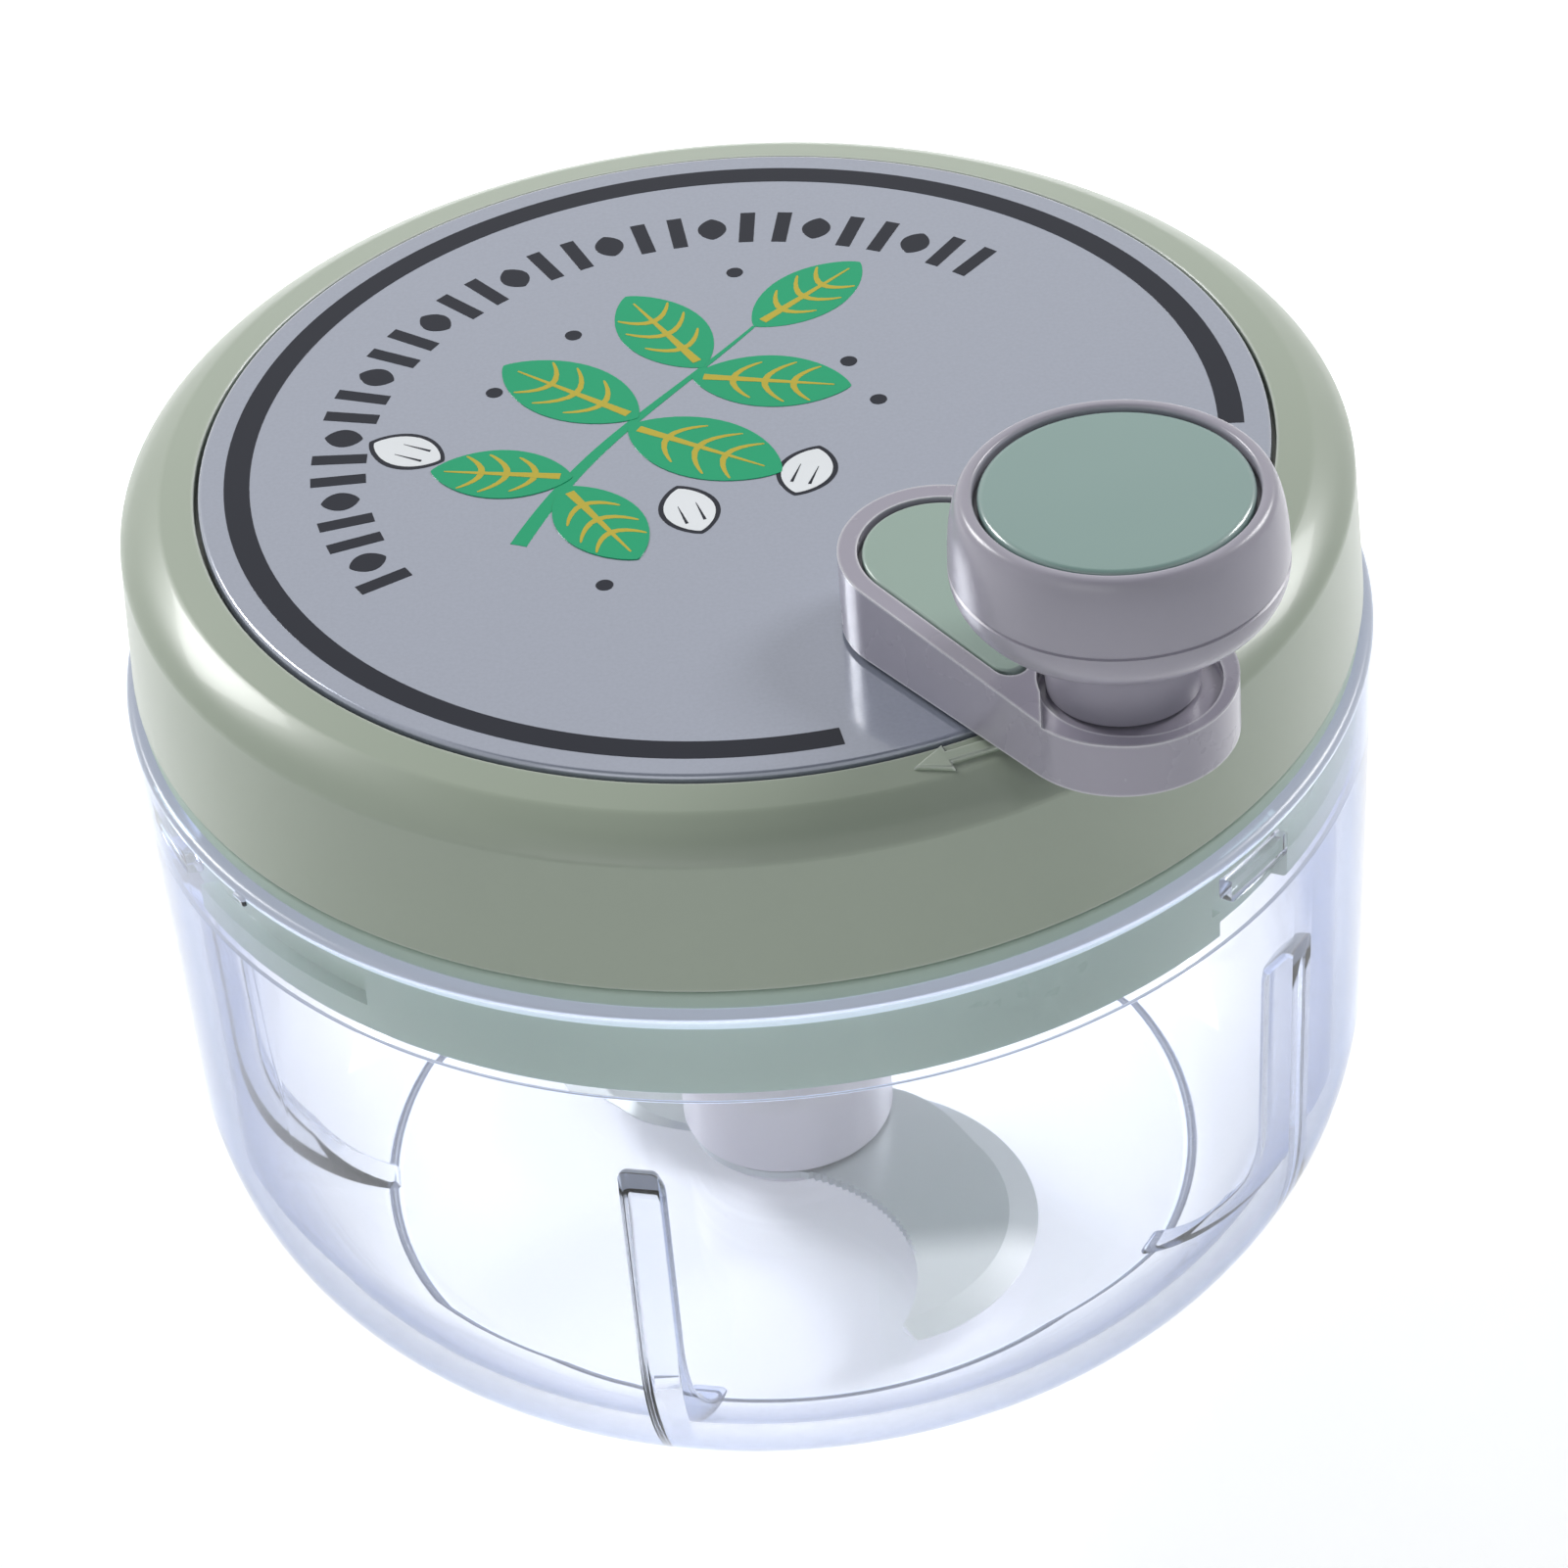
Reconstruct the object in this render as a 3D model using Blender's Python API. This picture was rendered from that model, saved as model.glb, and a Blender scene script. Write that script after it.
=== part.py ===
"""Hand cranked garlic chopper: a clear bowl, a geared lid and an S shaped blade.

Metres, +Z up. The origin is the centre of the face that the bowl stands on, and
the bowl, the lid, the drive shaft and the blade share the Z axis. The crank turns
on its own axis near the front edge of the lid, and drives the blade through a
compound idler gear. The lid is drawn set on the bowl and not yet turned to lock.
"""

import math

import bmesh
import bpy
from mathutils import Matrix, Vector

MM = 0.001

# Clearances
FACE_GAP = 0.3 * MM
RUNNING_GAP = 0.3 * MM
OVERCUT = 2.0 * MM

# Lid shell, from its outer edge inwards
LID_RADIUS = 60.0 * MM
LID_WALL_HEIGHT = 14.1 * MM
LID_DRAFT = 0.7 * MM
SHOULDER_RUN = 4.1 * MM
SHOULDER_RISE = 3.0 * MM
SHOULDER_CROWN = 0.35 * MM
LID_RIM_RUN = 3.5 * MM
LID_RIM_RISE = 0.7 * MM
ARROW_BEARING = math.radians(-70.5)
ARROW_LENGTH = 8.5 * MM
ARROW_HEAD = 3.4 * MM
ARROW_WIDTH = 2.7 * MM
ARROW_STEM = 1.1 * MM
ARROW_HEIGHT = 0.25 * MM
DECK_THICKNESS = 2.2 * MM
PLATE_THICKNESS = 1.9 * MM
PLATE_PROUD = 0.4 * MM
PLATE_BEVEL = 0.45 * MM
PLATE_EDGE_GAP = 0.4 * MM

# Bowl
RIM_OVERHANG = 1.0 * MM
BOWL_HEIGHT = 71.2 * MM
BOWL_DRAFT = 1.4 * MM
BOWL_WALL = 2.8 * MM
RIM_WALL = 2.5 * MM
RIM_ROUND = 0.6 * MM
LEDGE_DEPTH = 11.1 * MM
CORNER_RUN = 22.8 * MM
CORNER_RISE = 25.4 * MM
FLOOR_THICKNESS = 2.8 * MM
FOOT_HEIGHT = 1.2 * MM
FOOT_LIP = 5.4 * MM
RIB_COUNT = 5
RIB_BEARING = math.radians(-104.0)
RIB_WIDTH = 3.8 * MM
RIB_DEPTH = 3.0 * MM
RIB_TOP_DROP = 12.5 * MM
RIB_SLANT = 3.5 * MM

# Bayonet: lugs inside the bowl's rim run in grooves of the lid's skirt
BAYONET_COUNT = 3
BAYONET_BEARING = math.radians(-40.0)
LUG_DEPTH = 1.7 * MM
LUG_WIDTH = 9.0 * MM
LUG_HEIGHT = 2.6 * MM
LUG_ABOVE_LEDGE = 4.4 * MM
LOCK_ANGLE = math.radians(25.0)
SLOT_GAP = 0.7 * MM
GROOVE_GAP = 0.5 * MM
GROOVE_STEP = 1.0 * MM

# Lid skirt and gear cover, one moulding
SKIRT_GAP = 0.6 * MM
SKIRT_LIFT = 0.5 * MM
SKIRT_STEP = 0.4 * MM
SKIRT_WALL = 2.6 * MM
SKIRT_INSIDE_LID = 10.0 * MM
COVER_FLOOR_INSET = 2.4 * MM
COVER_FLOOR = 2.2 * MM

# Seal ring between the bowl's rim and the lid
SEAL_HEIGHT = 2.0 * MM
SEAL_INSET = 1.3 * MM

# Gear train
CRANK_TEETH = 30
IDLER_PINION_TEETH = 15
IDLER_TEETH = 32
DRIVE_TEETH = 18
IDLER_BEARING = math.radians(-97.0)
CRANK_FROM_IDLER = math.radians(-17.2)
GEAR_TO_WALL = 3.6 * MM
PRESSURE_ANGLE = math.radians(20.0)
ADDENDUM = 0.9
DEDENDUM = 1.25
BACKLASH = 0.3 * MM
LOWER_GEAR_LIFT = 1.8 * MM
GEAR_WIDTH = 6.0 * MM
CRANK_GEAR_WIDTH = 5.6 * MM
LAYER_GAP = 3.0 * MM
PINION_PAST_GEAR = 2.0 * MM

# Crank spindle and its bearing
SPINDLE_RADIUS = 5.0 * MM
SPINDLE_FLAT = 3.6 * MM
BUSH_WALL = 1.7 * MM
BUSH_FLANGE = 2.0 * MM
BUSH_FLANGE_THICKNESS = 1.2 * MM
BOSS_WALL = 2.6 * MM
SPINDLE_IN_ARM = 2.6 * MM

# Idler axle
AXLE_RADIUS = 2.5 * MM
AXLE_BOSS_WALL = 3.2 * MM
AXLE_BOSS_LIFT = 1.3 * MM
AXLE_IN_DECK = 0.5 * MM
AXLE_IN_FLOOR = 1.0 * MM

# Drive shaft, its bush and its seal
SHAFT_RADIUS = 4.0 * MM
SHAFT_FLAT = 2.9 * MM
SHAFT_IN_HUB = 13.0 * MM
SHAFT_BEARING_DEPTH = 8.0 * MM
SHAFT_BELOW_DECK = 1.3 * MM
SHAFT_BUSH_WALL = 2.2 * MM
SHAFT_BUSH_FLANGE = 2.5 * MM
SHAFT_BUSH_FLANGE_THICKNESS = 0.9 * MM
SEAL_POCKET_WALL = 2.1 * MM
SEAL_POCKET_DEPTH = 2.0 * MM
SHAFT_SEAL_HEIGHT = 1.4 * MM

# Screws
SCREW_RADIUS = 1.5 * MM
SCREW_HEAD_RADIUS = 3.2 * MM
SCREW_HEAD_HEIGHT = 1.6 * MM
SCREW_LENGTH = 10.0 * MM
SCREW_SLOT = 0.8 * MM
COVER_SCREW_COUNT = 3
COVER_SCREW_INSET = 9.0 * MM
COVER_SCREW_BEARING = math.radians(90.0)
WASHER_THICKNESS = 0.7 * MM

# Crank arm and its inlay
ARM_ANGLE = math.radians(-51.4)
ARM_LENGTH = 23.75 * MM
ARM_RADIUS = 9.65 * MM
ARM_KNOB_RADIUS = 10.45 * MM
ARM_HEIGHT = 7.6 * MM
ARM_SLOPE = 0.062
ARM_ABOVE_PLATE = 0.6 * MM
ARM_BEVEL = 0.5 * MM
PLATFORM_DROP = 1.9 * MM
SCOOP_RADIUS = 7.5 * MM
SCOOP_FLARE_START = math.radians(54.0)
SCOOP_FLARE = 1.1
WELL_RADIUS = 8.35 * MM
WELL_PAST_KNOB = 0.9 * MM
WELL_DEPTH = 0.9 * MM
INLAY_INSET = 2.2 * MM
INLAY_TO_SCOOP = 1.3 * MM
INLAY_RECESS = 1.6 * MM
INLAY_THICKNESS = 1.1 * MM
INLAY_ROUND = 1.7 * MM

# Knob, turned, from its foot upwards
KNOB_HEIGHT = 21.2 * MM
KNOB_SEAT_GAP = 0.4 * MM
KNOB_FOOT_RADIUS = 7.0 * MM
KNOB_NECK_RADIUS = 7.3 * MM
KNOB_RADIUS = 15.15 * MM
KNOB_TOP_RADIUS = 14.3 * MM
KNOB_NECK_HEIGHT = 4.6 * MM
KNOB_WAIST_HEIGHT = 13.4 * MM
KNOB_LIP = 1.13 * MM
KNOB_RECESS = 1.9 * MM
KNOB_CAP_THICKNESS = 1.3 * MM
KNOB_CAP_CROWN = 0.25 * MM
KNOB_PIN_RADIUS = 3.0 * MM
KNOB_PIN_HEAD_RADIUS = 5.0 * MM
KNOB_PIN_HEAD = 1.5 * MM
KNOB_SCREW_WELL = 4.6 * MM
KNOB_SCREW_WELL_RADIUS = 6.0 * MM

# Blade unit
HUB_RADIUS = 11.1 * MM
HUB_TUBE_RADIUS = 8.0 * MM
HUB_SKIRT_HEIGHT = 8.0 * MM
HUB_CONE_HEIGHT = 5.0 * MM
HUB_BELOW_COVER = 1.4 * MM
BLADE_THICKNESS = 0.9 * MM
BLADE_CENTRE_RADIUS = 10.5 * MM
BLADE_HOLE_RADIUS = 5.0 * MM
BLADE_EDGE_CENTRE = (4.5 * MM, -17.5 * MM)
BLADE_EDGE_RADIUS = 20.2 * MM
BLADE_BACK_CENTRE = (-5.5 * MM, -26.5 * MM)
BLADE_BACK_RADIUS = 17.2 * MM
BLADE_TIP_CUT = 3.4 * MM
CAP_ABOVE_FLOOR = 0.9 * MM
CAP_FLANGE_RADIUS = 9.0 * MM
CAP_FLANGE = 1.6 * MM
CAP_SPIGOT = 7.2 * MM
PIN_RADIUS = 2.1 * MM
PIN_HEIGHT = 21.7 * MM
PIN_IN_FLOOR = 2.4 * MM
PIN_BOSS_RADIUS = 5.0 * MM

# How finely round shapes are cut
ROUND_STEPS = 72
SMALL_STEPS = 28
ARC_STEPS = 8
SMOOTH_ANGLE = math.radians(32.0)

# Radii and heights that follow from the sizes above
BOWL_RIM_RADIUS = LID_RADIUS + LID_DRAFT + RIM_OVERHANG
BOWL_WAIST_RADIUS = BOWL_RIM_RADIUS - BOWL_DRAFT
BOWL_FLAT_RADIUS = BOWL_WAIST_RADIUS - CORNER_RUN
WAIST_HEIGHT = FOOT_HEIGHT + CORNER_RISE
FLOOR_TOP = FOOT_HEIGHT + FLOOR_THICKNESS
LEDGE_HEIGHT = BOWL_HEIGHT - LEDGE_DEPTH
RIM_BORE_RADIUS = BOWL_RIM_RADIUS - RIM_WALL
SKIRT_RADIUS = RIM_BORE_RADIUS - SKIRT_GAP
SKIRT_BORE_RADIUS = SKIRT_RADIUS - SKIRT_WALL
SKIRT_BOTTOM = LEDGE_HEIGHT + SKIRT_LIFT
SEAL_BOTTOM = BOWL_HEIGHT + FACE_GAP
LID_BOTTOM = SEAL_BOTTOM + SEAL_HEIGHT + FACE_GAP
LID_BORE_RADIUS = SKIRT_RADIUS - SKIRT_STEP + FACE_GAP
WALL_TOP = LID_BOTTOM + LID_WALL_HEIGHT
CREASE_RADIUS = LID_RADIUS - SHOULDER_RUN
CREASE_HEIGHT = WALL_TOP + SHOULDER_RISE
RECESS_RADIUS = CREASE_RADIUS - LID_RIM_RUN
RIM_TOP = CREASE_HEIGHT + LID_RIM_RISE
PLATE_TOP = RIM_TOP + PLATE_PROUD
PLATE_BOTTOM = PLATE_TOP - PLATE_THICKNESS
DECK_TOP = PLATE_BOTTOM - FACE_GAP
DECK_UNDER = DECK_TOP - DECK_THICKNESS
COVER_UNDER = SKIRT_BOTTOM + COVER_FLOOR_INSET
COVER_TOP = COVER_UNDER + COVER_FLOOR

LOWER_GEAR_BOTTOM = COVER_TOP + LOWER_GEAR_LIFT
LOWER_GEAR_TOP = LOWER_GEAR_BOTTOM + GEAR_WIDTH
CRANK_GEAR_BOTTOM = LOWER_GEAR_TOP + LAYER_GAP
CRANK_GEAR_TOP = CRANK_GEAR_BOTTOM + CRANK_GEAR_WIDTH
PINION_TOP = CRANK_GEAR_TOP + PINION_PAST_GEAR

CAP_BOTTOM = FLOOR_TOP + CAP_ABOVE_FLOOR
BLADE_BOTTOM = CAP_BOTTOM + CAP_FLANGE + FACE_GAP
HUB_BOTTOM = BLADE_BOTTOM + BLADE_THICKNESS + FACE_GAP
HUB_TOP = SKIRT_BOTTOM - HUB_BELOW_COVER
PIN_TOP = FLOOR_TOP + PIN_HEIGHT

ARM_BOTTOM = PLATE_TOP + ARM_ABOVE_PLATE
ARM_TOP = ARM_BOTTOM + ARM_HEIGHT
PLATFORM_TOP = ARM_TOP - PLATFORM_DROP
INLAY_FLOOR = ARM_TOP - INLAY_RECESS
ARM_TAPER = math.asin((ARM_KNOB_RADIUS - ARM_RADIUS) / ARM_LENGTH)
KNOB_BOTTOM = PLATFORM_TOP - WELL_DEPTH + KNOB_SEAT_GAP
KNOB_TOP = KNOB_BOTTOM + KNOB_HEIGHT
KNOB_RECESS_FLOOR = KNOB_TOP - KNOB_RECESS
KNOB_SCREW_FLOOR = KNOB_RECESS_FLOOR - KNOB_SCREW_WELL
HEAD_RECESS = SCREW_HEAD_HEIGHT + 2 * FACE_GAP


def polar(radius, angle):
    """The point at a radius and a bearing from the Z axis."""
    return Vector((radius * math.cos(angle), radius * math.sin(angle), 0.0))


# The gear train's layout in modules, then the module that fills the cover
IDLER_SPACING = (IDLER_TEETH + DRIVE_TEETH) / 2
CRANK_SPACING = (CRANK_TEETH + IDLER_PINION_TEETH) / 2
IDLER_UNIT = polar(IDLER_SPACING, IDLER_BEARING)
CRANK_UNIT = IDLER_UNIT + polar(CRANK_SPACING, CRANK_FROM_IDLER)
TRAIN_REACH = CRANK_UNIT.length + CRANK_TEETH / 2 + ADDENDUM
MODULE = (SKIRT_BORE_RADIUS - GEAR_TO_WALL) / TRAIN_REACH
IDLER_CENTRE = IDLER_UNIT * MODULE
CRANK_CENTRE = CRANK_UNIT * MODULE
COVER_SCREW_CIRCLE = SKIRT_BORE_RADIUS - COVER_SCREW_INSET


def clear_scene():
    """Remove what the file opened with."""
    for item in list(bpy.data.objects):
        bpy.data.objects.remove(item)


def finish(name, colour, roughness, metallic=0.0, clear=0.0):
    """A Principled material; clear is its transmission."""
    mat = bpy.data.materials.new(name)
    mat.use_nodes = True
    shader = mat.node_tree.nodes["Principled BSDF"]
    shader.inputs["Base Color"].default_value = (*colour, 1.0)
    shader.inputs["Roughness"].default_value = roughness
    shader.inputs["Metallic"].default_value = metallic
    shader.inputs["Transmission Weight"].default_value = clear
    mat.diffuse_color = (*colour, 1.0 - 0.6 * clear)
    return mat


def empty(name, location, parent=None, turn=0.0):
    """An axis that moving pieces are parented to."""
    axis = bpy.data.objects.new(name, None)
    axis.location = location
    axis.rotation_euler = (0.0, 0.0, turn)
    axis.parent = parent
    axis.empty_display_size = 0.01
    bpy.context.scene.collection.objects.link(axis)
    return axis


def piece(name, bm, mat=None, parent=None, location=(0.0, 0.0, 0.0)):
    """Turn a bmesh into a named object, shaded smooth where it is round."""
    bmesh.ops.recalc_face_normals(bm, faces=bm.faces)
    mesh = bpy.data.meshes.new(name)
    bm.to_mesh(mesh)
    bm.free()
    mesh.shade_smooth()
    mesh.set_sharp_from_angle(angle=SMOOTH_ANGLE)
    if mat:
        mesh.materials.append(mat)
    item = bpy.data.objects.new(name, mesh)
    item.location = location
    item.parent = parent
    bpy.context.scene.collection.objects.link(item)
    return item


def tool(name, bm, parent=None, location=(0.0, 0.0, 0.0)):
    """A shape that only cuts or adds to another piece."""
    item = piece(name, bm, parent=parent, location=location)
    item.hide_render = True
    item.display_type = "WIRE"
    return item


def combine(target, other, operation="DIFFERENCE"):
    """Cut or join one shape with another by a Boolean modifier."""
    step = target.modifiers.new(other.name, "BOOLEAN")
    step.operation = operation
    step.solver = "EXACT"
    step.object = other


def turned(profile, steps=SMALL_STEPS, centre=(0.0, 0.0)):
    """Spin a closed profile of (radius, height) points about a vertical axis."""
    bm = bmesh.new()
    verts = [bm.verts.new((radius, 0.0, height)) for radius, height in profile]
    edges = [bm.edges.new((verts[i - 1], verts[i])) for i in range(1, len(verts))]
    if verts[0].co.x > 0.0 or verts[-1].co.x > 0.0:
        edges.append(bm.edges.new((verts[-1], verts[0])))
    bmesh.ops.spin(bm, geom=verts + edges, cent=(0, 0, 0), axis=(0, 0, 1),
                   angle=math.tau, steps=steps, use_merge=True)
    bmesh.ops.remove_doubles(bm, verts=bm.verts, dist=1e-7)
    bmesh.ops.translate(bm, verts=bm.verts, vec=(*centre, 0.0))
    return bm


def tube(inner, outer, bottom, top, steps=SMALL_STEPS, centre=(0.0, 0.0)):
    """A plain ring or, with no inner radius, a plain cylinder."""
    profile = [(inner, bottom), (outer, bottom), (outer, top), (inner, top)]
    return turned(profile, steps, centre)


def prism(outline, bottom, top):
    """Raise a flat outline of (x, y) points into a solid."""
    bm = bmesh.new()
    face = bm.faces.new([bm.verts.new((x, y, bottom)) for x, y in outline])
    raised = bmesh.ops.extrude_face_region(bm, geom=[face])["geom"]
    tops = [item for item in raised if isinstance(item, bmesh.types.BMVert)]
    bmesh.ops.translate(bm, verts=tops, vec=(0.0, 0.0, top - bottom))
    return bm


def merged(parts):
    """Several separate solids held by one mesh."""
    whole = bmesh.new()
    for bm in parts:
        bmesh.ops.recalc_face_normals(bm, faces=bm.faces)
        holder = bpy.data.meshes.new("holder")
        bm.to_mesh(holder)
        bm.free()
        whole.from_mesh(holder)
        bpy.data.meshes.remove(holder)
    return whole


def arc(centre, radius, start, end, steps=ARC_STEPS):
    """Points along an arc, both ends included."""
    angles = [start + (end - start) * i / steps for i in range(steps + 1)]
    return [(centre[0] + radius * math.cos(a), centre[1] + radius * math.sin(a)) for a in angles]


def double_flat(radius, flat):
    """A round outline with two flat sides, along X."""
    reach = math.acos(flat / radius)
    start = math.pi / 2 - reach
    right = arc((0.0, 0.0), radius, -start, start)
    left = arc((0.0, 0.0), radius, math.pi - start, math.pi + start)
    return right + left


def circles_meet(first, first_radius, second, second_radius):
    """Both points where two circles cross."""
    across = Vector(second) - Vector(first)
    gap = across.length
    along = (first_radius ** 2 - second_radius ** 2 + gap ** 2) / (2 * gap)
    off = math.sqrt(first_radius ** 2 - along ** 2)
    middle = Vector(first) + across * (along / gap)
    side = Vector((-across.y, across.x)) * (off / gap)
    return middle + side, middle - side


def bearing(centre, point):
    """The angle of a point seen from a centre."""
    return math.atan2(point[1] - centre[1], point[0] - centre[0])


def bowl_inside(share):
    """A point and its inward normal on the bowl's inner wall, from ledge (0) to floor (1)."""
    run = CORNER_RUN - BOWL_WALL
    rise = WAIST_HEIGHT - FLOOR_TOP
    turn = 0.5
    if share < turn:
        top = BOWL_WAIST_RADIUS - BOWL_WALL + BOWL_DRAFT * (LEDGE_HEIGHT - WAIST_HEIGHT) / (
            BOWL_HEIGHT - WAIST_HEIGHT)
        part = share / turn
        radius = top + (BOWL_WAIST_RADIUS - BOWL_WALL - top) * part
        height = LEDGE_HEIGHT + (WAIST_HEIGHT - LEDGE_HEIGHT) * part
        return Vector((radius, height)), Vector((-1.0, 0.0))
    angle = (share - turn) / (1.0 - turn) * math.pi / 2
    point = Vector((BOWL_FLAT_RADIUS + run * math.cos(angle), WAIST_HEIGHT - rise * math.sin(angle)))
    normal = Vector((-math.cos(angle) / run, math.sin(angle) / rise)).normalized()
    return point, normal


def bowl_profile():
    """The bowl's section, from the middle of its foot round to the middle of its floor."""
    foot_radius = BOWL_FLAT_RADIUS + FOOT_LIP
    outside = []
    for i in range(ARC_STEPS + 2):
        angle = math.pi / 2 * (1.0 - i / (ARC_STEPS + 1))
        outside.append((BOWL_FLAT_RADIUS + CORNER_RUN * math.cos(angle),
                        WAIST_HEIGHT - CORNER_RISE * math.sin(angle)))
    outside = [point for point in outside if point[0] > foot_radius + 0.5 * MM]
    lean = (foot_radius - BOWL_FLAT_RADIUS) / CORNER_RUN
    foot_meets = WAIST_HEIGHT - CORNER_RISE * math.sqrt(1.0 - lean ** 2)
    inside = [tuple(bowl_inside(i / (2 * ARC_STEPS))[0]) for i in range(2 * ARC_STEPS + 1)]
    wall = inside[:1] + inside[ARC_STEPS:]
    return ([(0.0, 0.0), (foot_radius, 0.0), (foot_radius, foot_meets)] + outside
            + [(BOWL_RIM_RADIUS, BOWL_HEIGHT - RIM_ROUND),
               (BOWL_RIM_RADIUS - RIM_ROUND, BOWL_HEIGHT),
               (RIM_BORE_RADIUS + RIM_ROUND / 2, BOWL_HEIGHT),
               (RIM_BORE_RADIUS, BOWL_HEIGHT - RIM_ROUND / 2),
               (RIM_BORE_RADIUS, LEDGE_HEIGHT)]
            + wall + [(0.0, FLOOR_TOP)])


def rib_outline():
    """A rib's side view: it follows the inner wall, and its top slants down inwards."""
    top_share = 0.5 * RIB_TOP_DROP / (LEDGE_HEIGHT - WAIST_HEIGHT)
    shares = [top_share + (0.97 - top_share) * i / 14 for i in range(15)]
    places = [bowl_inside(share) for share in shares]
    sunk = [point - normal * (BOWL_WALL * 0.4) for point, normal in places]
    proud = [point + normal * RIB_DEPTH for point, normal in places]
    proud[0] = Vector((proud[0].x, proud[0].y - RIB_SLANT))
    return [tuple(point) for point in sunk] + [tuple(point) for point in reversed(proud)]


def radial_slab(outline, width, angle):
    """Raise a side view to a width, and turn it to a bearing about the Z axis."""
    bm = prism(outline, -width / 2, width / 2)
    upright = Matrix.Rotation(math.pi / 2, 3, "X")
    bmesh.ops.rotate(bm, verts=bm.verts, cent=(0, 0, 0), matrix=upright)
    bmesh.ops.rotate(bm, verts=bm.verts, cent=(0, 0, 0), matrix=Matrix.Rotation(angle, 3, "Z"))
    return bm


def lug_bearings():
    """Where the bowl's lugs stand."""
    return [BAYONET_BEARING + math.tau * i / BAYONET_COUNT for i in range(BAYONET_COUNT)]


def make_bowl(mat):
    """The clear bowl, with ribs, bayonet lugs and a boss for the centre pin."""
    bowl = piece("bowl", turned(bowl_profile(), ROUND_STEPS), mat)
    ribs = [radial_slab(rib_outline(), RIB_WIDTH, RIB_BEARING + math.tau * i / RIB_COUNT)
            for i in range(RIB_COUNT)]
    lug_bottom = LEDGE_HEIGHT + LUG_ABOVE_LEDGE
    inner = RIM_BORE_RADIUS - LUG_DEPTH
    outer = RIM_BORE_RADIUS + RIM_WALL / 2
    lug = [(inner, lug_bottom), (outer, lug_bottom), (outer, lug_bottom + LUG_HEIGHT),
           (inner, lug_bottom + LUG_HEIGHT)]
    lugs = [radial_slab(lug, LUG_WIDTH, angle) for angle in lug_bearings()]
    boss = tube(0.0, PIN_BOSS_RADIUS, FLOOR_TOP - FLOOR_THICKNESS / 2, CAP_BOTTOM - FACE_GAP)
    combine(bowl, tool("bowl_additions", merged(ribs + lugs + [boss])), "UNION")
    hole = tube(0.0, PIN_RADIUS + FACE_GAP, FLOOR_TOP - PIN_IN_FLOOR - FACE_GAP, CAP_BOTTOM + OVERCUT)
    combine(bowl, tool("pin_hole", hole))


def make_centre_pin(mat):
    """The steel pin in the bowl's floor that the blade unit turns on."""
    top = PIN_TOP
    nose = PIN_RADIUS / 2
    profile = [(0.0, FLOOR_TOP - PIN_IN_FLOOR), (PIN_RADIUS, FLOOR_TOP - PIN_IN_FLOOR),
               (PIN_RADIUS, top - nose), (PIN_RADIUS - nose / 2, top), (0.0, top)]
    piece("centre_pin", turned(profile), mat)


def make_seal_ring(mat, axis):
    """The soft ring between the bowl's rim and the lid."""
    bm = tube(SKIRT_RADIUS + FACE_GAP, BOWL_RIM_RADIUS - SEAL_INSET, SEAL_BOTTOM,
              SEAL_BOTTOM + SEAL_HEIGHT, ROUND_STEPS)
    piece("seal_ring", bm, mat, axis)


def lid_section():
    """The lid shell's section, from the middle of its deck's top out and back under."""
    middle = (LID_RADIUS + CREASE_RADIUS) / 2 + SHOULDER_CROWN
    return [(0.0, DECK_TOP), (RECESS_RADIUS, DECK_TOP), (RECESS_RADIUS, RIM_TOP),
            (CREASE_RADIUS, CREASE_HEIGHT),
            (middle, (WALL_TOP + CREASE_HEIGHT) / 2 + SHOULDER_CROWN),
            (LID_RADIUS, WALL_TOP), (LID_RADIUS + LID_DRAFT, LID_BOTTOM),
            (LID_BORE_RADIUS, LID_BOTTOM), (LID_BORE_RADIUS, DECK_UNDER - BOSS_WALL / 2),
            (LID_BORE_RADIUS - BOSS_WALL / 2, DECK_UNDER), (0.0, DECK_UNDER)]


def screw_places():
    """Where the cover screws stand, as vectors from the Z axis."""
    return [polar(COVER_SCREW_CIRCLE, COVER_SCREW_BEARING + math.tau * i / COVER_SCREW_COUNT)
            for i in range(COVER_SCREW_COUNT)]


def rim_arrow():
    """The raised arrow on the lid's sloping rim; it points clockwise."""
    neck = ARROW_LENGTH / 2 - ARROW_HEAD
    half = ARROW_STEM / 2
    right = [(ARROW_LENGTH / 2, 0.0), (neck, ARROW_WIDTH / 2), (neck, half), (-ARROW_LENGTH / 2, half)]
    bm = prism(right + [(x, -y) for x, y in reversed(right[1:])], -LID_RIM_RISE, ARROW_HEIGHT)
    bmesh.ops.rotate(bm, verts=bm.verts, cent=(0, 0, 0),
                     matrix=Matrix.Rotation(-math.atan2(LID_RIM_RISE, LID_RIM_RUN), 3, "X"))
    bmesh.ops.translate(bm, verts=bm.verts, vec=(0.0, (RECESS_RADIUS + CREASE_RADIUS) / 2,
                                                 (CREASE_HEIGHT + RIM_TOP) / 2))
    turn = Matrix.Rotation(ARROW_BEARING - math.pi / 2, 3, "Z")
    bmesh.ops.rotate(bm, verts=bm.verts, cent=(0, 0, 0), matrix=turn)
    return bm


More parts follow.
